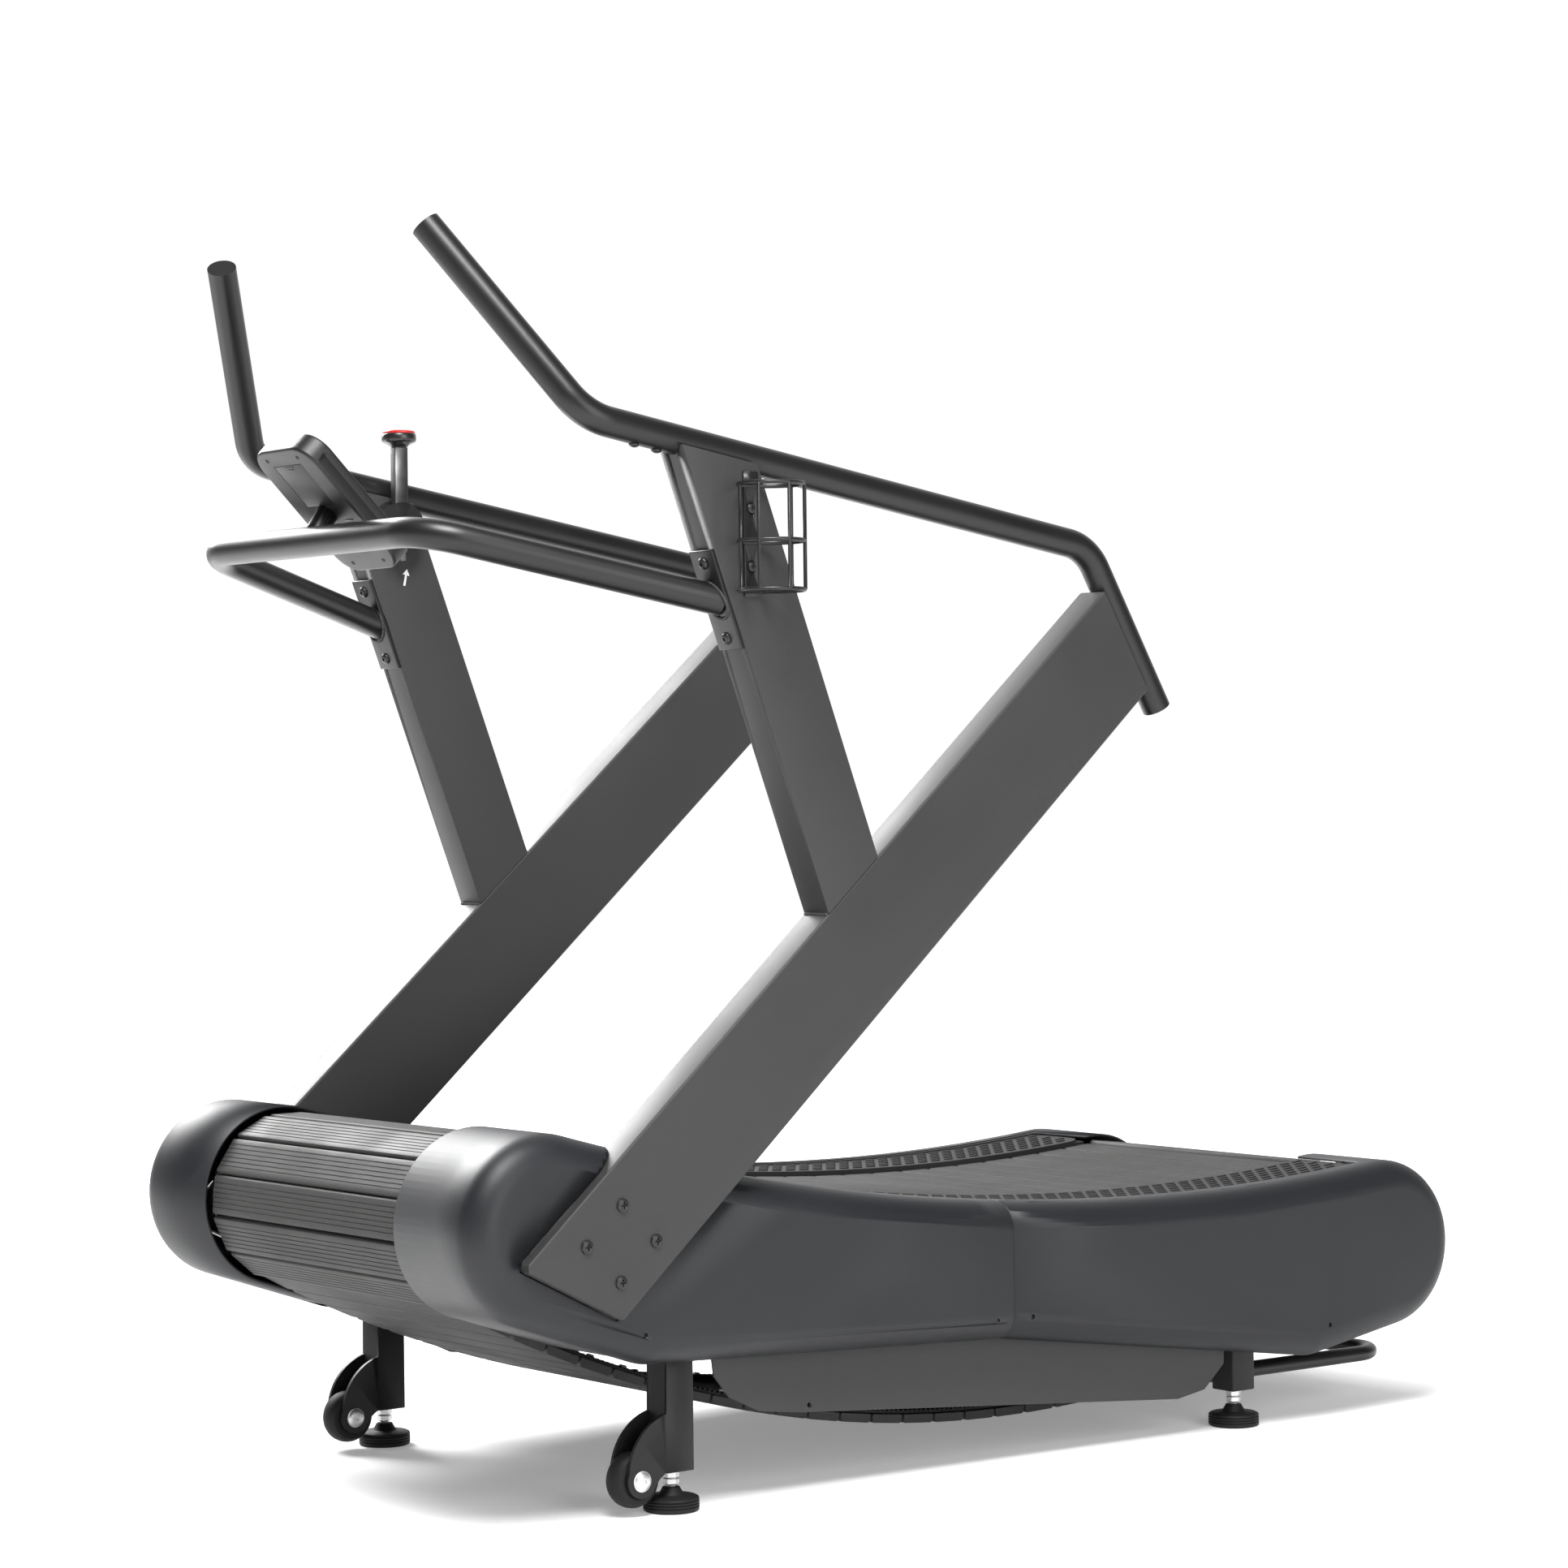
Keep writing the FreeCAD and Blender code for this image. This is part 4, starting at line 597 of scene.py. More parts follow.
def tilt(recipe):
    """Turn about Y that lays +X along a path in the XZ plane."""
    way = recipe.node("ShaderNodeSeparateXYZ", inputs={0: recipe.node("GeometryNodeInputTangent")})
    parts = way.socket.node.outputs
    angle = recipe.node("ShaderNodeMath", {"operation": "ARCTAN2"}, {
        0: Value(recipe, parts[2]) * -1.0, 1: Value(recipe, parts[0])})
    return recipe.node("ShaderNodeCombineXYZ", inputs={1: angle})


def belt_recipe():
    """Repeats a shape evenly round a closed path in the XZ plane, its +X along the path."""
    recipe = Recipe("round_the_belt", Path="Object", Shape="Object", Count="Int", Material="Material")
    line = recipe.node("GeometryNodeResampleCurve", {"mode": "COUNT"}, {
        "Curve": recipe.shape_of("Path"), "Count": recipe.given["Count"]})
    recipe.close(recipe.node("GeometryNodeInstanceOnPoints", inputs={
        "Points": line, "Instance": recipe.shape_of("Shape"), "Rotation": tilt(recipe)}))
    return recipe


def slat_shape(step):
    """One slat: seven flat ribs between narrow grooves, with softened long edges."""
    half, width, thick = (step - 0.003) / 2, 0.222, 0.012
    ribs, groove, depth = 7, 0.0009, 0.0007
    rib = (2 * half - 0.008 - (ribs - 1) * groove) / ribs
    outline = [(-half, -thick + 0.001), (-half, -0.006), (-half + 0.0007, -0.003), (-half + 0.002, -0.0009),
               (-half + 0.004, 0.0)]
    x = -half + 0.004
    for i in range(ribs):
        x += rib
        outline.append((x - 0.0003, 0.0))
        if i < ribs - 1:
            outline += [(x, -depth), (x + groove, -depth), (x + groove + 0.0003, 0.0)]
            x += groove
    outline += [(half - 0.002, -0.0009), (half - 0.0007, -0.003), (half, -0.006),
                (half, -thick + 0.001), (half - 0.001, -thick), (-half + 0.001, -thick)]
    bm = bmesh.new()
    rows = []
    for y, shrink in ((-width, 0.9), (-width + 0.0012, 1.0), (width - 0.0012, 1.0), (width, 0.9)):
        rows.append([bm.verts.new((x * (1.0 - (1.0 - shrink) * 0.2), y, z * shrink - (1.0 - shrink) * 0.006))
                     for x, z in outline])
    bridge(bm, rows)
    bm.faces.new(rows[0][::-1])
    bm.faces.new(rows[-1])
    return scratch("slat", bm)


def rubber(name, level, brick=0.0):
    finish = Finish(name, specular_ior_level=0.28)
    broad, fine = finish.noise(7.0, 4.0), finish.noise(1500.0, 2.0)
    height = fine * 0.25
    shade = broad * 0.6 + fine * 0.4
    if brick:
        x, y, z = finish.axes(finish.local())
        row = ((x + 0.05) / 0.00725).floor()
        across = (y / brick + row * 0.5) % 1.0
        wall = abs(across - 0.5).ramp(0.36, 0.44, 1.0, 0.0)
        height = height + wall
        # Painted shade: the colour is darker in the grooves between the raised blocks and lighter on the
        # blocks.
        shade = shade * 0.55 + wall * 0.45
    colour = finish.blend(shade, grey(level * 0.5), grey(level * 1.45, (1.0, 0.99, 0.97)))
    return finish.done(colour, broad.ramp(0.3, 0.7, 0.52, 0.66), height, 0.0005 if brick else 0.0002)


def zinc(name="zinc_steel", level=0.62, rough=0.28):
    finish = Finish(name)
    cloud, fine = finish.noise(60.0, 5.0), finish.noise(1800.0, 2.0)
    colour = finish.blend(cloud, grey(level * 0.7, (1.0, 0.98, 0.93)), grey(level, (0.98, 1.0, 1.03)))
    return finish.done(colour, cloud * 0.2 + (rough - 0.08), fine, 0.00004, cloud.ramp(0.0, 0.15, 0.9, 1.0))


def build_belt():
    count, belt_y = 67, 0.203
    recipe = belt_recipe()
    surface, length = Loop().points(1340, 0.5 / count)
    slat_rubber = rubber("slat_rubber", 0.036, 0.0043)
    slats = recipe.make("slats", Path=polyline("slat_path", surface, True), Shape=slat_shape(length / count),
                        Count=count, Material=slat_rubber)
    piece("slats", slats, None, "frame", ["belt_slats"], 25.0)

    bm = bmesh.new()
    for side in (-1, 1):
        hexed = hexagon(0.0088)
        spot = Matrix.Translation((0.0, side * belt_y, -0.0183)) @ Matrix.Rotation(math.pi, 4, "X")
        head = [(0.0, -0.0002), (hexed, -0.0002), (hexed, 0.002), (0.0036, 0.0026), (0.0, 0.0026)]
        turned(bm, head, spot, 24)
    bolts = recipe.make("slat_bolts", Path=polyline("bolt_path", surface, True), Shape=scratch("bolt", bm),
                        Count=count, Material=zinc())
    piece("slat_bolt_heads", bolts, None, "frame", ["slat_bolts"], 25.0)

    belt_rubber = rubber("belt_rubber", 0.012)
    bm = bmesh.new()
    loops = [Loop(inset).points(480)[0] for inset in (0.0123, 0.0155)]
    for side in (-1, 1):
        edges = [side * (belt_y - 0.013), side * (belt_y + 0.013)]
        rings = [[bm.verts.new((p.x, y, p.z)) for p in loop] for loop, y in
                 ((loops[0], edges[0]), (loops[0], edges[1]), (loops[1], edges[1]), (loops[1], edges[0]))]
        bridge(bm, rings + rings[:1])
    band = to_mesh("band", bm)
    bm = bmesh.new()
    for side in (-1, 1):
        mid = side * belt_y
        outline = [(-0.0026, 0.0), (-0.0015, -0.0022), (0.0015, -0.0022), (0.0026, 0.0)]
        ends = [[bm.verts.new((x, mid + y, z)) for x, z in outline] for y in (-0.0128, 0.0128)]
        bridge(bm, ends)
        bm.faces.new(ends[0])
        bm.faces.new(ends[1][::-1])
    inner, run = Loop(0.0155).points(960)
    teeth = recipe.make("teeth", Path=polyline("tooth_path", inner, True), Shape=scratch("tooth", bm, False),
                        Count=round(run / 0.008), Material=belt_rubber)
    both = joined("belts", [band, teeth])
    piece("belts", both, belt_rubber, "frame", ["toothed_belts"], 25.0)


build_belt()


# ---- drums and running gear -----------------------------------------------------------------
# Two steel axles in ball bearings carry cast aluminium pulleys; the front one also turns a steel
# brake disc, which a forked magnet arm straddles. Small bearings on flat rails carry the deck run.
bare_steel = zinc("bare_steel", 0.5, 0.34)
cast_aluminium = zinc("cast_aluminium", 0.55, 0.5)
for node, body, look, slot_name in (
        ("front_axle", "front_drum", bare_steel, "bare_steel"),
        ("front_pulleys", "front_drum", cast_aluminium, "cast_aluminium"),
        ("brake_disc", "front_drum", bare_steel, "bare_steel"),
        ("rear_axle", "rear_drum", bare_steel, "bare_steel"),
        ("rear_pulleys", "rear_drum", cast_aluminium, "cast_aluminium"),
        ("magnet_yoke", "magnet_arm", bare_steel, "bare_steel"),
        ("axle_bearings", "frame", bare_steel, "bare_steel"),
        ("guide_bearings", "frame", bare_steel, "bare_steel")):
    piece("look_" + node, refined(node, 0.0006, 0.003, 2), look, body, [node])


# ---- foot strips ----------------------------------------------------------------------------
# A rubber mat bonded to a thin plate beside the belt on each side, on the deck's curve: rows of
# short raised dashes for grip, a raised outer lip, and a rounded rear end.
def dash_recipe():
    """Rows of a shape on an arc about the deck's centre, every second row shifted by half a pitch."""
    recipe = Recipe("grip_rows", Arc="Object", Dash="Object", Count="Int", Rows="Int", Pitch="Float",
                    Start="Vector", Shift="Float", Material="Material")
    line = recipe.node("GeometryNodeResampleCurve", {"mode": "COUNT"}, {
        "Curve": recipe.shape_of("Arc"), "Count": recipe.given["Count"]})
    row = recipe.node("GeometryNodeRealizeInstances", inputs={0: recipe.node(
        "GeometryNodeInstanceOnPoints", inputs={
            "Points": line, "Instance": recipe.shape_of("Dash"),
            "Rotation": tilt(recipe)})})
    offset = recipe.node("ShaderNodeCombineXYZ", inputs={1: recipe.given["Pitch"]})
    rows = recipe.node("GeometryNodeMeshLine", inputs={
        "Count": recipe.given["Rows"], "Start Location": recipe.given["Start"], "Offset": offset})
    odd = recipe.node("GeometryNodeInputIndex") % 2.0
    lean = recipe.node("ShaderNodeCombineXYZ", inputs={1: odd * recipe.given["Shift"]})
    recipe.close(recipe.node("GeometryNodeInstanceOnPoints", inputs={
        "Points": rows, "Instance": row, "Rotation": lean}))
    return recipe


def dash_shape():
    """A short raised dash with rounded ends and a slightly domed top."""
    bm = bmesh.new()
    rings = []
    for size, height in ((1.0, -0.0004), (1.0, 0.0011), (0.86, 0.0017), (0.55, 0.0019)):
        ring = []
        for i in range(12):
            angle = math.pi * (i if i < 6 else i - 1) / 5
            lean = 0.0058 if i < 6 else -0.0058
            ring.append(bm.verts.new((lean + math.cos(angle - math.pi / 2) * 0.0026 * size,
                                      math.sin(angle - math.pi / 2) * 0.0026 * size, height)))
        rings.append(ring)
    bridge(bm, rings)
    bm.faces.new(rings[-1])
    return scratch("dash", bm)


def build_strips():
    strip_rubber = rubber("strip_rubber", 0.02)
    recipe = dash_recipe()
    rise, loop = 0.0065, Loop()
    rows_of_dashes, row_pitch, pitch = 6, 0.0158, 0.0245
    for side, sign in (("left", -1), ("right", 1)):
        low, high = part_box(side + "_tread_strip")
        inner, outer = sorted((abs(low.y), abs(high.y)))
        x0, x1 = low.x + 0.001, high.x - 0.001
        mid, round_end = (inner + outer) / 2, 0.03
        profile = ((inner + 0.001, -0.003), (inner + 0.001, rise - 0.001), (inner + 0.002, rise),
                   (outer - 0.008, rise), (outer - 0.007, rise + 0.0026), (outer - 0.002, rise + 0.0026),
                   (outer - 0.001, rise + 0.0014), (outer - 0.001, -0.003))
        bm = bmesh.new()
        for outline, limit in ((profile, round_end),
                               (((inner, -0.0035), (inner, 0.003), (outer, 0.003), (outer, -0.0035)), 0.0)):
            rows = []
            for i in range(121):
                x = x0 + (x1 - x0) * (1 - (1 - i / 120) ** 1.6)
                gap = x1 - x
                reach = (outer - inner) / 2
                if limit and gap < limit:
                    reach += math.sqrt(limit ** 2 - (limit - gap) ** 2) - limit
                row = []
                for y, lift in outline:
                    deck = loop.deck(x)
                    across = max(-reach, min(reach, y - mid))
                    slope = (loop.hollow - Vector((x, 0.0, deck))).normalized()
                    spot = Vector((x, sign * (mid + across), deck)) + slope * lift
                    row.append(bm.verts.new(spot))
                rows.append(row)
            bridge(bm, rows)
            bm.faces.new(rows[0])
            bm.faces.new(rows[-1][::-1])
        mat = to_mesh("mat", bm)
        arc = []
        top = Loop(-rise)
        first, last = x0 + 0.012, x1 - 0.032
        for i in range(81):
            x = first + (last - first) * i / 80
            arc.append(Vector((x - top.hollow.x, 0.0, top.deck(x) - top.hollow.z)))
        count = round((last - first) / pitch)
        first_row = sign * mid - row_pitch * (rows_of_dashes - 1) / 2 - sign * 0.002
        dashes = recipe.make("dashes", Arc=polyline("dash_arc", arc), Dash=dash_shape(), Count=count,
                             Rows=rows_of_dashes, Pitch=row_pitch,
                             Start=(top.hollow.x, first_row, top.hollow.z),
                             Shift=-0.5 * (last - first) / (count - 1) / top.radius, Material=strip_rubber)
        piece(side + "_foot_mat", joined("foot_mat", [mat, dashes]), strip_rubber, "frame",
              [side + "_tread_strip"], 30.0)


build_strips()


# ---- covers ---------------------------------------------------------------------------------
# Four vacuum-formed shells in matt black plastic, front and rear on each side, screwed to the
# frame; they meet at an open seam and turn over the belt's drums with a large soft edge.
def moulded(name, level, tint, rough):
    finish = Finish(name, specular_ior_level=0.38, coat_weight=0.03, coat_roughness=0.35)
    grain, broad = finish.cells(1500.0), finish.noise(2.4, 4.0)
    fine = finish.noise(700.0, 2.0)
    scuff_field = finish.noise(3.0, 3.0, finish.stretched((3.0, 3.0, 34.0)))
    patch = finish.noise(5.0, 2.0).ramp(0.55, 0.72)
    scuff = abs(scuff_field - 0.5).ramp(0.0, 0.006, 1.0, 0.0) * patch
    colour = finish.blend(broad * 0.7 + fine * 0.3, grey(level * 0.75, tint), grey(level * 1.3, tint))
    worn = finish.blend(scuff * 0.5, colour, grey(level * 2.6))
    return finish.done(worn, broad.ramp(0.3, 0.7, rough - 0.04, rough + 0.08) + scuff * 0.1 + fine * 0.05,
                       grain * 0.6 + fine * 0.4, 0.00008)


cowl_plastic = moulded("cowl_plastic", 0.0105, (0.9, 0.96, 1.16), 0.42)
for node in ("left_front_cowl", "left_rear_cowl", "right_front_cowl", "right_rear_cowl"):
    piece("look_" + node, refined(node), cowl_plastic, "frame", [node], 50.0)
guard_coat = textured_coat("guard_coat", 0.038, 0.00012, 0.55)
piece("look_guard_plates", refined("guard_plates", 0.0012), guard_coat, "frame",
      ["guard_plates"])


# ---- legs, wheels and feet ------------------------------------------------------------------
# Square tube legs under the frame; the front ones carry solid rubber transport wheels between
# two cheeks. Each leg stands on a rubber pad moulded on a zinc-plated levelling stud with lock nuts.
leg_coat = textured_coat("leg_coat", 0.01, 0.00012, 0.42)
for node in ("front_legs", "rear_legs"):
    piece("look_" + node, refined(node, 0.0022, 0.012), leg_coat, "frame", [node])


def aimed(place, axis):
    """Matrix that stands a shape's +Z along an axis at a place."""
    return Matrix.Translation(place) @ Vector(axis).to_track_quat("Z", "Y").to_matrix().to_4x4()


def build_wheels():
    wheel_rubber = rubber("wheel_rubber", 0.008)
    tyre = ((0.0053, -0.015), (0.012, -0.015), (0.013, -0.0142), (0.0205, -0.0142), (0.022, -0.015),
            (0.0255, -0.015), (0.0295, -0.0138), (0.0325, -0.0105), (0.0344, -0.0058), (0.035, 0.0))
    whole = list(tyre) + [(r, -h) for r, h in reversed(tyre[:-1])] + [tyre[0]]
    for side in ("left", "right"):
        low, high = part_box(side + "_wheel")
        bm = bmesh.new()
        turned(bm, whole, aimed((low + high) / 2, (0.0, 1.0, 0.0)), 72)
        bmesh.ops.remove_doubles(bm, verts=bm.verts[:], dist=0.00001)
        piece("tyre_" + side, to_mesh("tyre", bm), wheel_rubber, side + "_transport_wheel",
              [side + "_wheel"], 30.0)


build_wheels()


def socket_head(bm, place, axis, radius, height, socket, flange=0.0):
    """Button head with a hexagon socket, standing on a face."""
    rim = [(radius, 0.0)]
    if flange:
        rim = [(radius + flange, 0.0), (radius + flange, 0.0006), (radius, 0.001)]
    dome = [(radius * math.cos(a), 0.001 * bool(flange) + height * math.sin(a)) for a in
            (0.15, 0.45, 0.75, 1.05)]
    top = dome[-1][1]
    hexed = hexagon(socket)
    turned(bm, [(0.0, -0.0005)] + [(r, -0.0005) for r, _ in rim[:1]] + rim + dome +
           [(hexed, top + 0.0001), (hexagon(socket * 0.94), top - 0.0005),
            (hexagon(socket * 0.92), top - 0.0018), (0.0, top - 0.0022)], aimed(place, axis), 48)


zinc_steel = bpy.data.materials["zinc_steel"]
bm = bmesh.new()
for low, high in islands("wheel_bolts"):
    seat = Vector(((low.x + high.x) / 2, low.y + 0.004, (low.z + high.z) / 2))
    socket_head(bm, seat, (0.0, -1.0, 0.0), 0.0118, 0.0044, 0.0062, 0.0012)
    shank = [(0.0, 0.0), (0.005, 0.0), (0.005, 0.042), (hexagon(0.0165), 0.042),
             (hexagon(0.0168), 0.048), (0.0078, 0.0492), (0.0, 0.0492)]
    turned(bm, shank, aimed(seat, (0.0, 1.0, 0.0)), 48)
piece("wheel_bolt_heads", to_mesh("wheel_bolts", bm), zinc_steel, "frame",
      ["wheel_bolts"], 28.0)


def build_feet():
    pad_rubber = rubber("pad_rubber", 0.008)
    ribbed = [(0.0, 0.0), (0.032, 0.0), (0.0345, 0.0015)]
    for level in (0.004, 0.0075, 0.011):
        ribbed += [(0.035, level), (0.035, level + 0.0018), (0.0335, level + 0.0024),
                   (0.0335, level + 0.0031)]
    ribbed += [(0.035, 0.0148), (0.0342, 0.0172), (0.031, 0.0188), (0.0205, 0.0193), (0.0165, 0.0206),
               (0.0148, 0.0226), (0.0118, 0.0276), (0.0108, 0.0296), (0.0088, 0.0302), (0.0061, 0.0302)]
    stud = [(0.0, 0.024)]
    for i in range(24):
        stud += [(0.0054, 0.0243 + i * 0.0018), (0.006, 0.0251 + i * 0.0018)]
    stud += [(0.0052, 0.0676), (0.0, 0.068)]
    for end in ("front", "rear"):
        for side in ("left", "right"):
            node = end + "_" + side + "_foot"
            low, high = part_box(node)
            place = Matrix.Translation(((low.x + high.x) / 2, (low.y + high.y) / 2, low.z))
            for part, profile, look, slot_name in (("pad", ribbed, pad_rubber, "pad_rubber"),
                                                   ("stud", stud, zinc_steel, "zinc_steel")):
                bm = bmesh.new()
                turned(bm, profile, place, 64)
                piece(end + "_" + side + "_" + part, to_mesh(part, bm), look, end + "_" + side + "_leveller",
                      [node] if part == "pad" else [], 30.0)


build_feet()
bm = bmesh.new()
for low, high in islands("foot_nuts"):
    tall = high.z - low.z
    flats = hexagon(0.018)
    turned(bm, [(0.0062, 0.0), (0.0084, 0.0), (flats, 0.0011), (flats, tall - 0.0011), (0.0084, tall),
                (0.0062, tall), (0.0062, 0.0)],
           Matrix.Translation(((low.x + high.x) / 2, (low.y + high.y) / 2, low.z)), 48)
bmesh.ops.remove_doubles(bm, verts=bm.verts[:], dist=0.00001)
piece("lock_nuts", to_mesh("lock_nuts", bm), zinc_steel, "frame", ["foot_nuts"], 28.0)


# ---- screws ---------------------------------------------------------------------------------
# Black button-head screws: cross recess in the beams' feet and the covers, hexagon socket in the
# horn joints and the handlebar's flanges.
black_screw = satin_coat("black_screw", 0.012)


def cross(reach, half):
    """Rule for the outline of a cross recess."""
    def radius(angle):
        c, s = abs(math.cos(angle)) + 1e-6, abs(math.sin(angle)) + 1e-6
        return max(min(reach / c, half / s), min(half / c, reach / s))
    return radius


def cross_head(bm, place, axis, radius, height):
    dome = [(radius * math.cos(a), height * math.sin(a)) for a in (0.0, 0.3, 0.6, 0.85)]
    top = dome[-1][1]
    wide, deep = cross(radius * 0.52, radius * 0.13), cross(radius * 0.44, radius * 0.09)
    turned(bm, [(0.0, -0.0004), (radius, -0.0004)] + dome +
           [(wide, top + height * 0.16), (deep, top - height * 0.5), (0.0, top - height * 0.75)],
           aimed(place, axis), 64)


bm = bmesh.new()
for low, high in islands("beam_screws"):
    middle = (low + high) / 2
    outward = 1.0 if middle.y > 0 else -1.0
    size = (high.z - low.z) / 2
    face = low.y if outward < 0 else high.y
    tall = 0.003 if size > 0.007 else 0.0025
    cross_head(bm, Vector((middle.x, face - outward * tall, middle.z)), (0.0, outward, 0.0), size, tall)
piece("cross_screws", to_mesh("cross_screws", bm), black_screw, "frame", ["beam_screws"], 28.0)

bm = bmesh.new()
for low, high in islands("cowl_screws"):
    middle = (low + high) / 2
    outward = 1.0 if middle.y > 0 else -1.0
    face = (low.y if outward < 0 else high.y) - outward * 0.0022
    cross_head(bm, Vector((middle.x, face, middle.z)), (0.0, outward, 0.0), 0.0031, 0.0012)
piece("sunk_screws", to_mesh("sunk_screws", bm), black_screw, "frame", ["cowl_screws"], 28.0)

bm = bmesh.new()
for low, high in islands("button_bolts"):
    middle = (low + high) / 2
    way = heading(200.8) if middle.z < 1.23 else heading(-99.5)
    size = (high.y - low.y) / 2
    tall = 0.0045 if size > 0.007 else 0.0035
    base = middle + way * (0.00075 if size > 0.007 else -tall / 2)
    socket_head(bm, base, way, size, tall, size * 0.62)
piece("socket_bolts", to_mesh("socket_bolts", bm), black_screw, "frame",
      ["button_bolts"], 28.0)


# ---- console --------------------------------------------------------------------------------
# A grained black plastic shell in two halves on the handlebar's stalk: a battery door and slots
# in its back, a liquid crystal display behind glass and three rubber keys on its sloping face.
console_plastic = moulded("console_plastic", 0.007, (1.0, 1.0, 1.03), 0.38)
for node in ("console_back", "console_front", "battery_door"):
    piece("look_" + node, refined(node, 0.0006, 0.004, 2), console_plastic, "frame",
          [node])


def console_frame():
    """Matrix of the console: +X down its face, +Z out of the display."""
    low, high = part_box("console_back")
    low2, high2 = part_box("console_front")
    both_low = Vector(map(min, low, low2))
    both_high = Vector(map(max, high, high2))
    return Matrix.Translation((both_low + both_high) / 2) @ Matrix.Rotation(math.radians(45.0), 4, "Y")


def slab(bm, place, size, soft, spot):
    """Adds a small block with rounded corners and edges."""
    block = place @ Matrix.Translation(spot) @ Matrix.Diagonal((*size, 1.0))
    made = bmesh.ops.create_cube(bm, size=1.0, matrix=block)
    edges = list({e for v in made["verts"] for e in v.link_edges})
    bmesh.ops.bevel(bm, geom=edges, offset=soft, offset_type="OFFSET", segments=2, profile=0.5,
                    affect="EDGES")


def build_console():
    place = console_frame()
    glass = Finish("screen_glass", specular_ior_level=0.5, coat_weight=0.8, coat_roughness=0.04)
    smear = glass.noise(30.0, 4.0)
    glass.done(glass.blend(smear, grey(0.012), grey(0.018, (0.9, 1.0, 1.05))), smear * 0.1 + 0.06)
    piece("look_console_screen", refined("console_screen", 0.0005, 0.004, 2), glass.material, "frame",
          ["console_screen"])

    lit = Finish("display_segments", roughness=0.4)
    glow = lit.noise(300.0, 2.0)
    lit.done(lit.blend(glow, (0.30, 0.36, 0.33, 1.0), (0.42, 0.5, 0.45, 1.0)), glow * 0.2 + 0.35)
    shapes = {"0": "abcdef", "1": "bc", "2": "abged", "4": "fgbc", "5": "afgcd", "8": "abcdefg"}
    strokes = {"a": (0.0, 1.0, 1), "b": (0.5, 0.5, 0), "c": (0.5, -0.5, 0), "d": (0.0, -1.0, 1),
               "e": (-0.5, -0.5, 0), "f": (-0.5, 0.5, 0), "g": (0.0, 0.0, 1)}
    bm = bmesh.new()
    for x, text, scale in ((-0.058, "1240", 1.0), (-0.028, "085", 0.7), (-0.002, "152", 0.7)):
        for k, digit in enumerate(text):
            y0 = (k - (len(text) - 1) / 2) * 0.017 * scale
            for stroke in shapes[digit]:
                sy, sx, flat = strokes[stroke]
                long, thin = 0.0085 * scale, 0.0014 * scale
                size = (thin, long, 0.0003) if flat else (long, thin, 0.0003)
                slab(bm, place, size, 0.0001, (x - sx * 0.0095 * scale, y0 + sy * 0.0095 * scale, 0.0143))
    piece("display_digits", to_mesh("digits", bm), lit.material, "frame", (), 30.0)

    bm = bmesh.new()
    for side in (-1, 1):
        for i in range(5):
            slab(bm, place, (0.0022, 0.017, 0.0012), 0.0004, (0.018 + i * 0.0052, side * 0.036, -0.0151))
    back = place.to_3x3() @ Vector((0.0, 0.0, -1.0))
    for x in (-0.088, 0.088):
        for y in (-0.036, 0.036):
            cross_head(bm, place @ Vector((x, y, -0.0149)), back, 0.0031, 0.0013)
    for x, length in ((-0.0742, 0.02), (-0.0704, 0.014)):
        slab(bm, place, (0.0014, length, 0.001), 0.0003, (x, 0.0, -0.0153))
    piece("console_fittings", to_mesh("console_fittings", bm), black_screw, "frame", (), 28.0)


build_console()
key_rubber = rubber("key_rubber", 0.07)
for node, body in (("key_start", "start_key"), ("key_mode", "mode_key"), ("key_stop", "stop_key")):
    piece("look_" + node, refined(node, 0.0016, 0.004, 3), key_rubber, body, [node])


# ---- resistance lever -----------------------------------------------------------------------
# A flat satin steel bar on a glossy black hub turns against a round housing on the right post;
# it ends in a black mushroom knob with a pressed-in red cap. A painted arrow marks the scale.
def glossy(name, colour, rough):
    finish = Finish(name, specular_ior_level=0.5, coat_weight=0.3, coat_roughness=0.12)
    cloud, fine = finish.noise(40.0, 4.0), finish.noise(900.0, 2.0)
    dark = tuple(c * 0.7 for c in colour[:3]) + (1.0,)
    return finish.done(finish.blend(cloud, dark, colour), cloud * 0.12 + rough, fine, 0.00004)


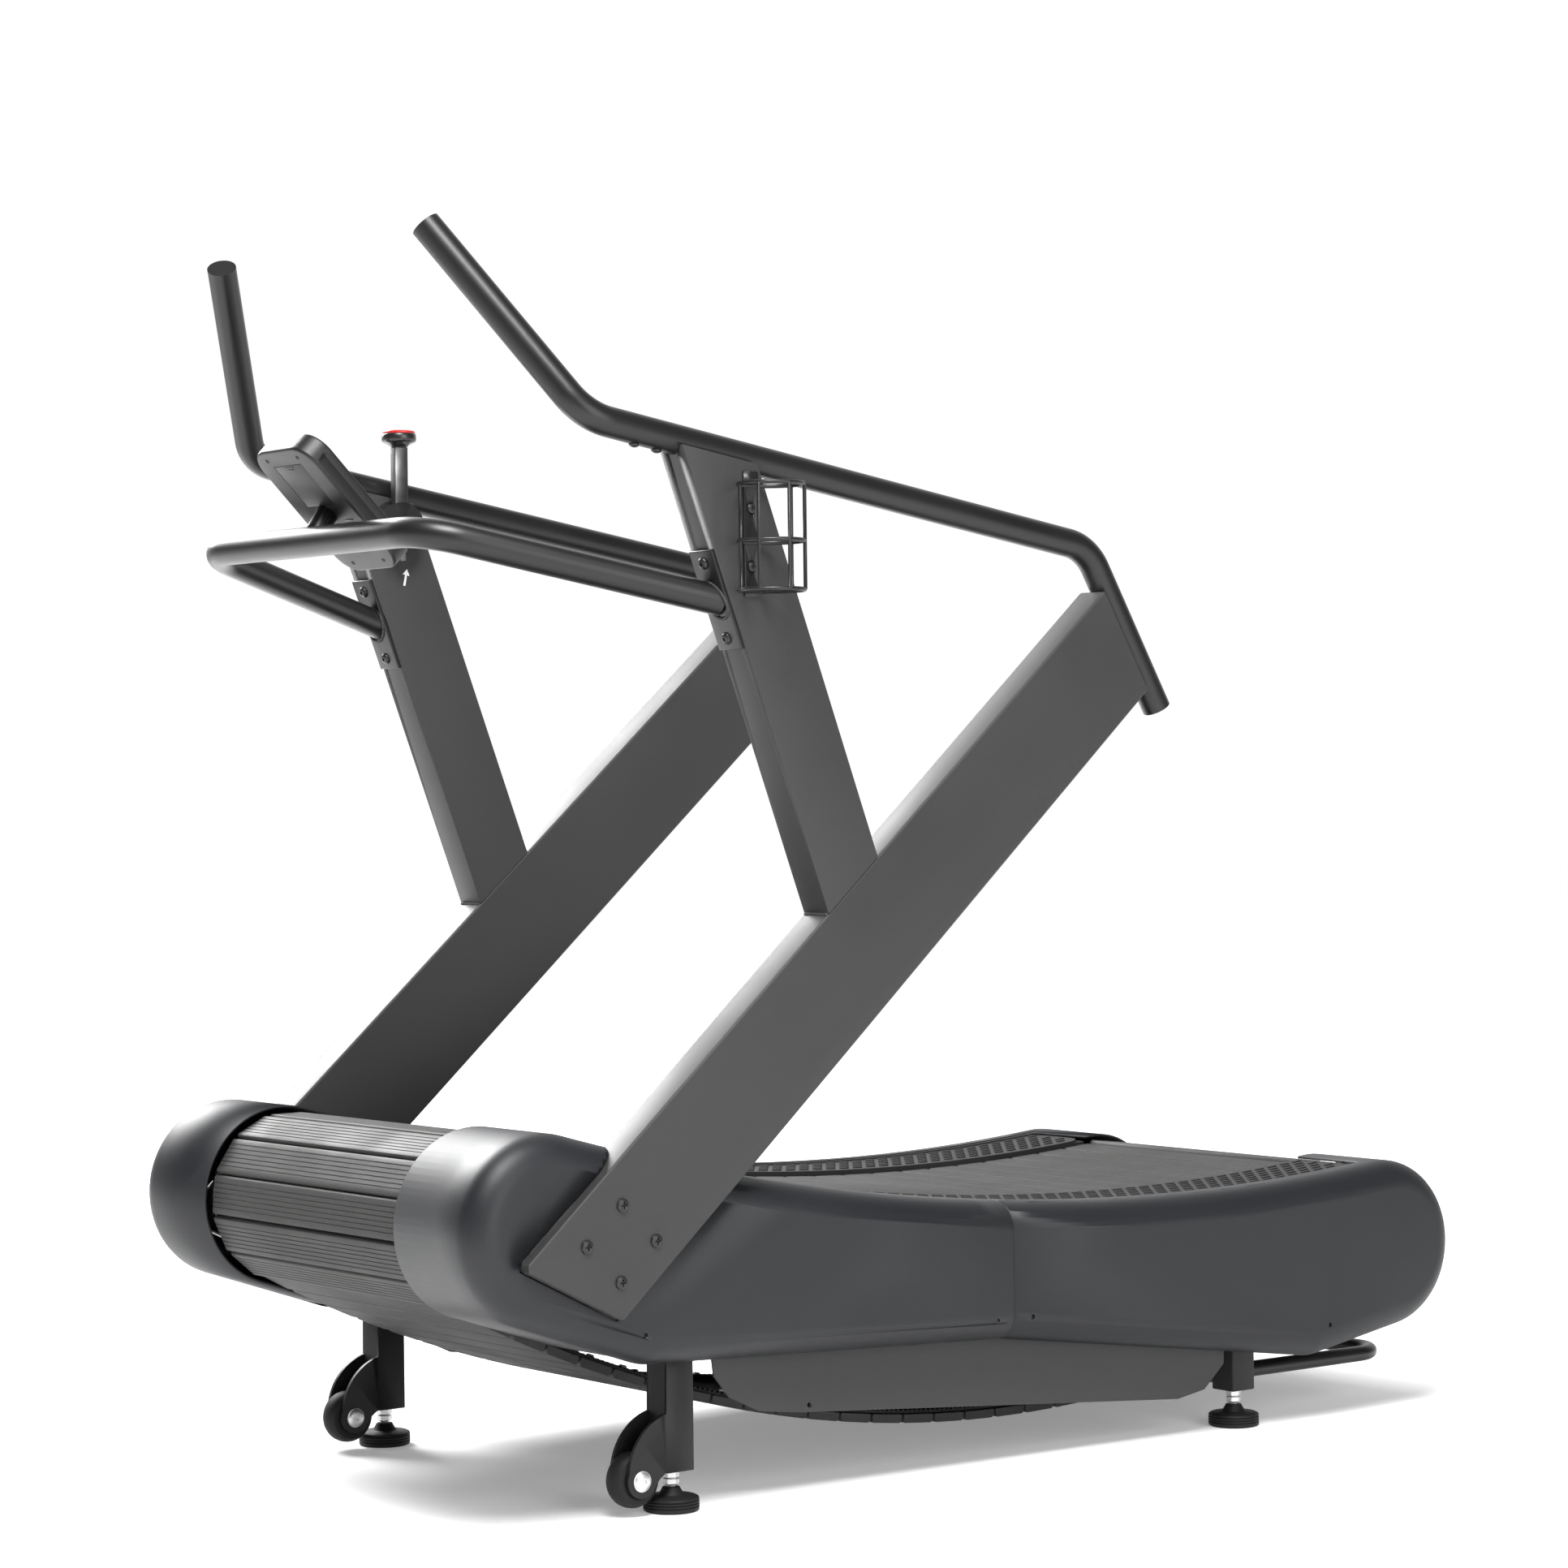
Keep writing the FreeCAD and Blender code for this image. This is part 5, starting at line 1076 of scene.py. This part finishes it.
def build_lever():
    knob_plastic = glossy("knob_plastic", grey(0.01), 0.25)
    cap_red = glossy("cap_red", (0.5, 0.012, 0.01, 1.0), 0.3)
    lever_steel = zinc("lever_steel", 0.2, 0.4)
    piece("look_resistance_quadrant", refined("resistance_quadrant", 0.0018, 0.004), knob_plastic, "frame",
          ["resistance_quadrant"])
    lever = piece("look_resistance_lever", refined("resistance_lever", 0.0014, 0.004), lever_steel,
                  "resistance_control", ["resistance_lever"])
    lever.data.materials.append(knob_plastic)
    low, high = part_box("resistance_quadrant")
    hub = (low + high) / 2
    for face in lever.data.polygons:
        spread = max(math.hypot(lever.data.vertices[i].co.x - hub.x, lever.data.vertices[i].co.z - hub.z)
                     for i in face.vertices)
        face.material_index = 1 if spread < 0.0362 else 0
    low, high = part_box("lever_knob")
    base = Matrix.Translation(((low.x + high.x) / 2, (low.y + high.y) / 2, low.z))
    tall = high.z - low.z
    bm = bmesh.new()
    turned(bm, [(0.0, 0.0), (0.0105, 0.0), (0.0125, 0.001), (0.0135, 0.003), (0.0185, 0.0055),
                (0.0226, 0.0075), (0.0238, 0.0095), (0.024, 0.0125), (0.0238, tall - 0.0022),
                (0.0231, tall - 0.0006), (0.0222, tall), (0.0, tall)], base, 64)
    piece("mushroom_knob", to_mesh("knob", bm), knob_plastic, "resistance_control",
          ["lever_knob"])
    bm = bmesh.new()
    turned(bm, [(0.0, tall), (0.0222, tall), (0.0225, tall + 0.0006), (0.0222, tall + 0.0026),
                (0.021, tall + 0.0036), (0.0185, tall + 0.004), (0.0, tall + 0.0042)], base, 64)
    piece("red_cap", to_mesh("cap", bm), cap_red, "resistance_control", ["lever_cap"])

    paint = Finish("arrow_paint", roughness=0.55)
    wear = paint.noise(400.0, 3.0)
    paint.done(paint.blend(wear, grey(0.6), grey(0.75)), wear * 0.2 + 0.45)
    outline = [(-0.0016, -0.012), (0.0016, -0.012), (0.0016, 0.003), (0.0058, 0.003), (0.0, 0.0115),
               (-0.0058, 0.003), (-0.0016, 0.003)]
    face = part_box("right_post")[0].y
    centre = Vector((hub.x + 0.018, 0.0, hub.z - 0.066))
    bm = bmesh.new()
    lean = math.radians(-12.0)
    rows = []
    for y in (face + 0.0002, face - 0.00025):
        rows.append([bm.verts.new((centre.x + x * math.cos(lean) - z * math.sin(lean), y,
                                   centre.z + x * math.sin(lean) + z * math.cos(lean))) for x, z in outline])
    bridge(bm, rows)
    bm.faces.new(rows[0])
    bm.faces.new(rows[1][::-1])
    piece("level_arrow", to_mesh("arrow", bm), paint.material, "frame")


build_lever()


# ---- bottle cage ----------------------------------------------------------------------------
# A basket of thick coated wire, welded hoops and uprights on a flat strap, screwed to the left post.
cage_wire = satin_coat("cage_wire", 0.008)
piece("look_bottle_cage", refined("bottle_cage", 0.0008, 0.02, 2), cage_wire, "frame",
      ["bottle_cage"])
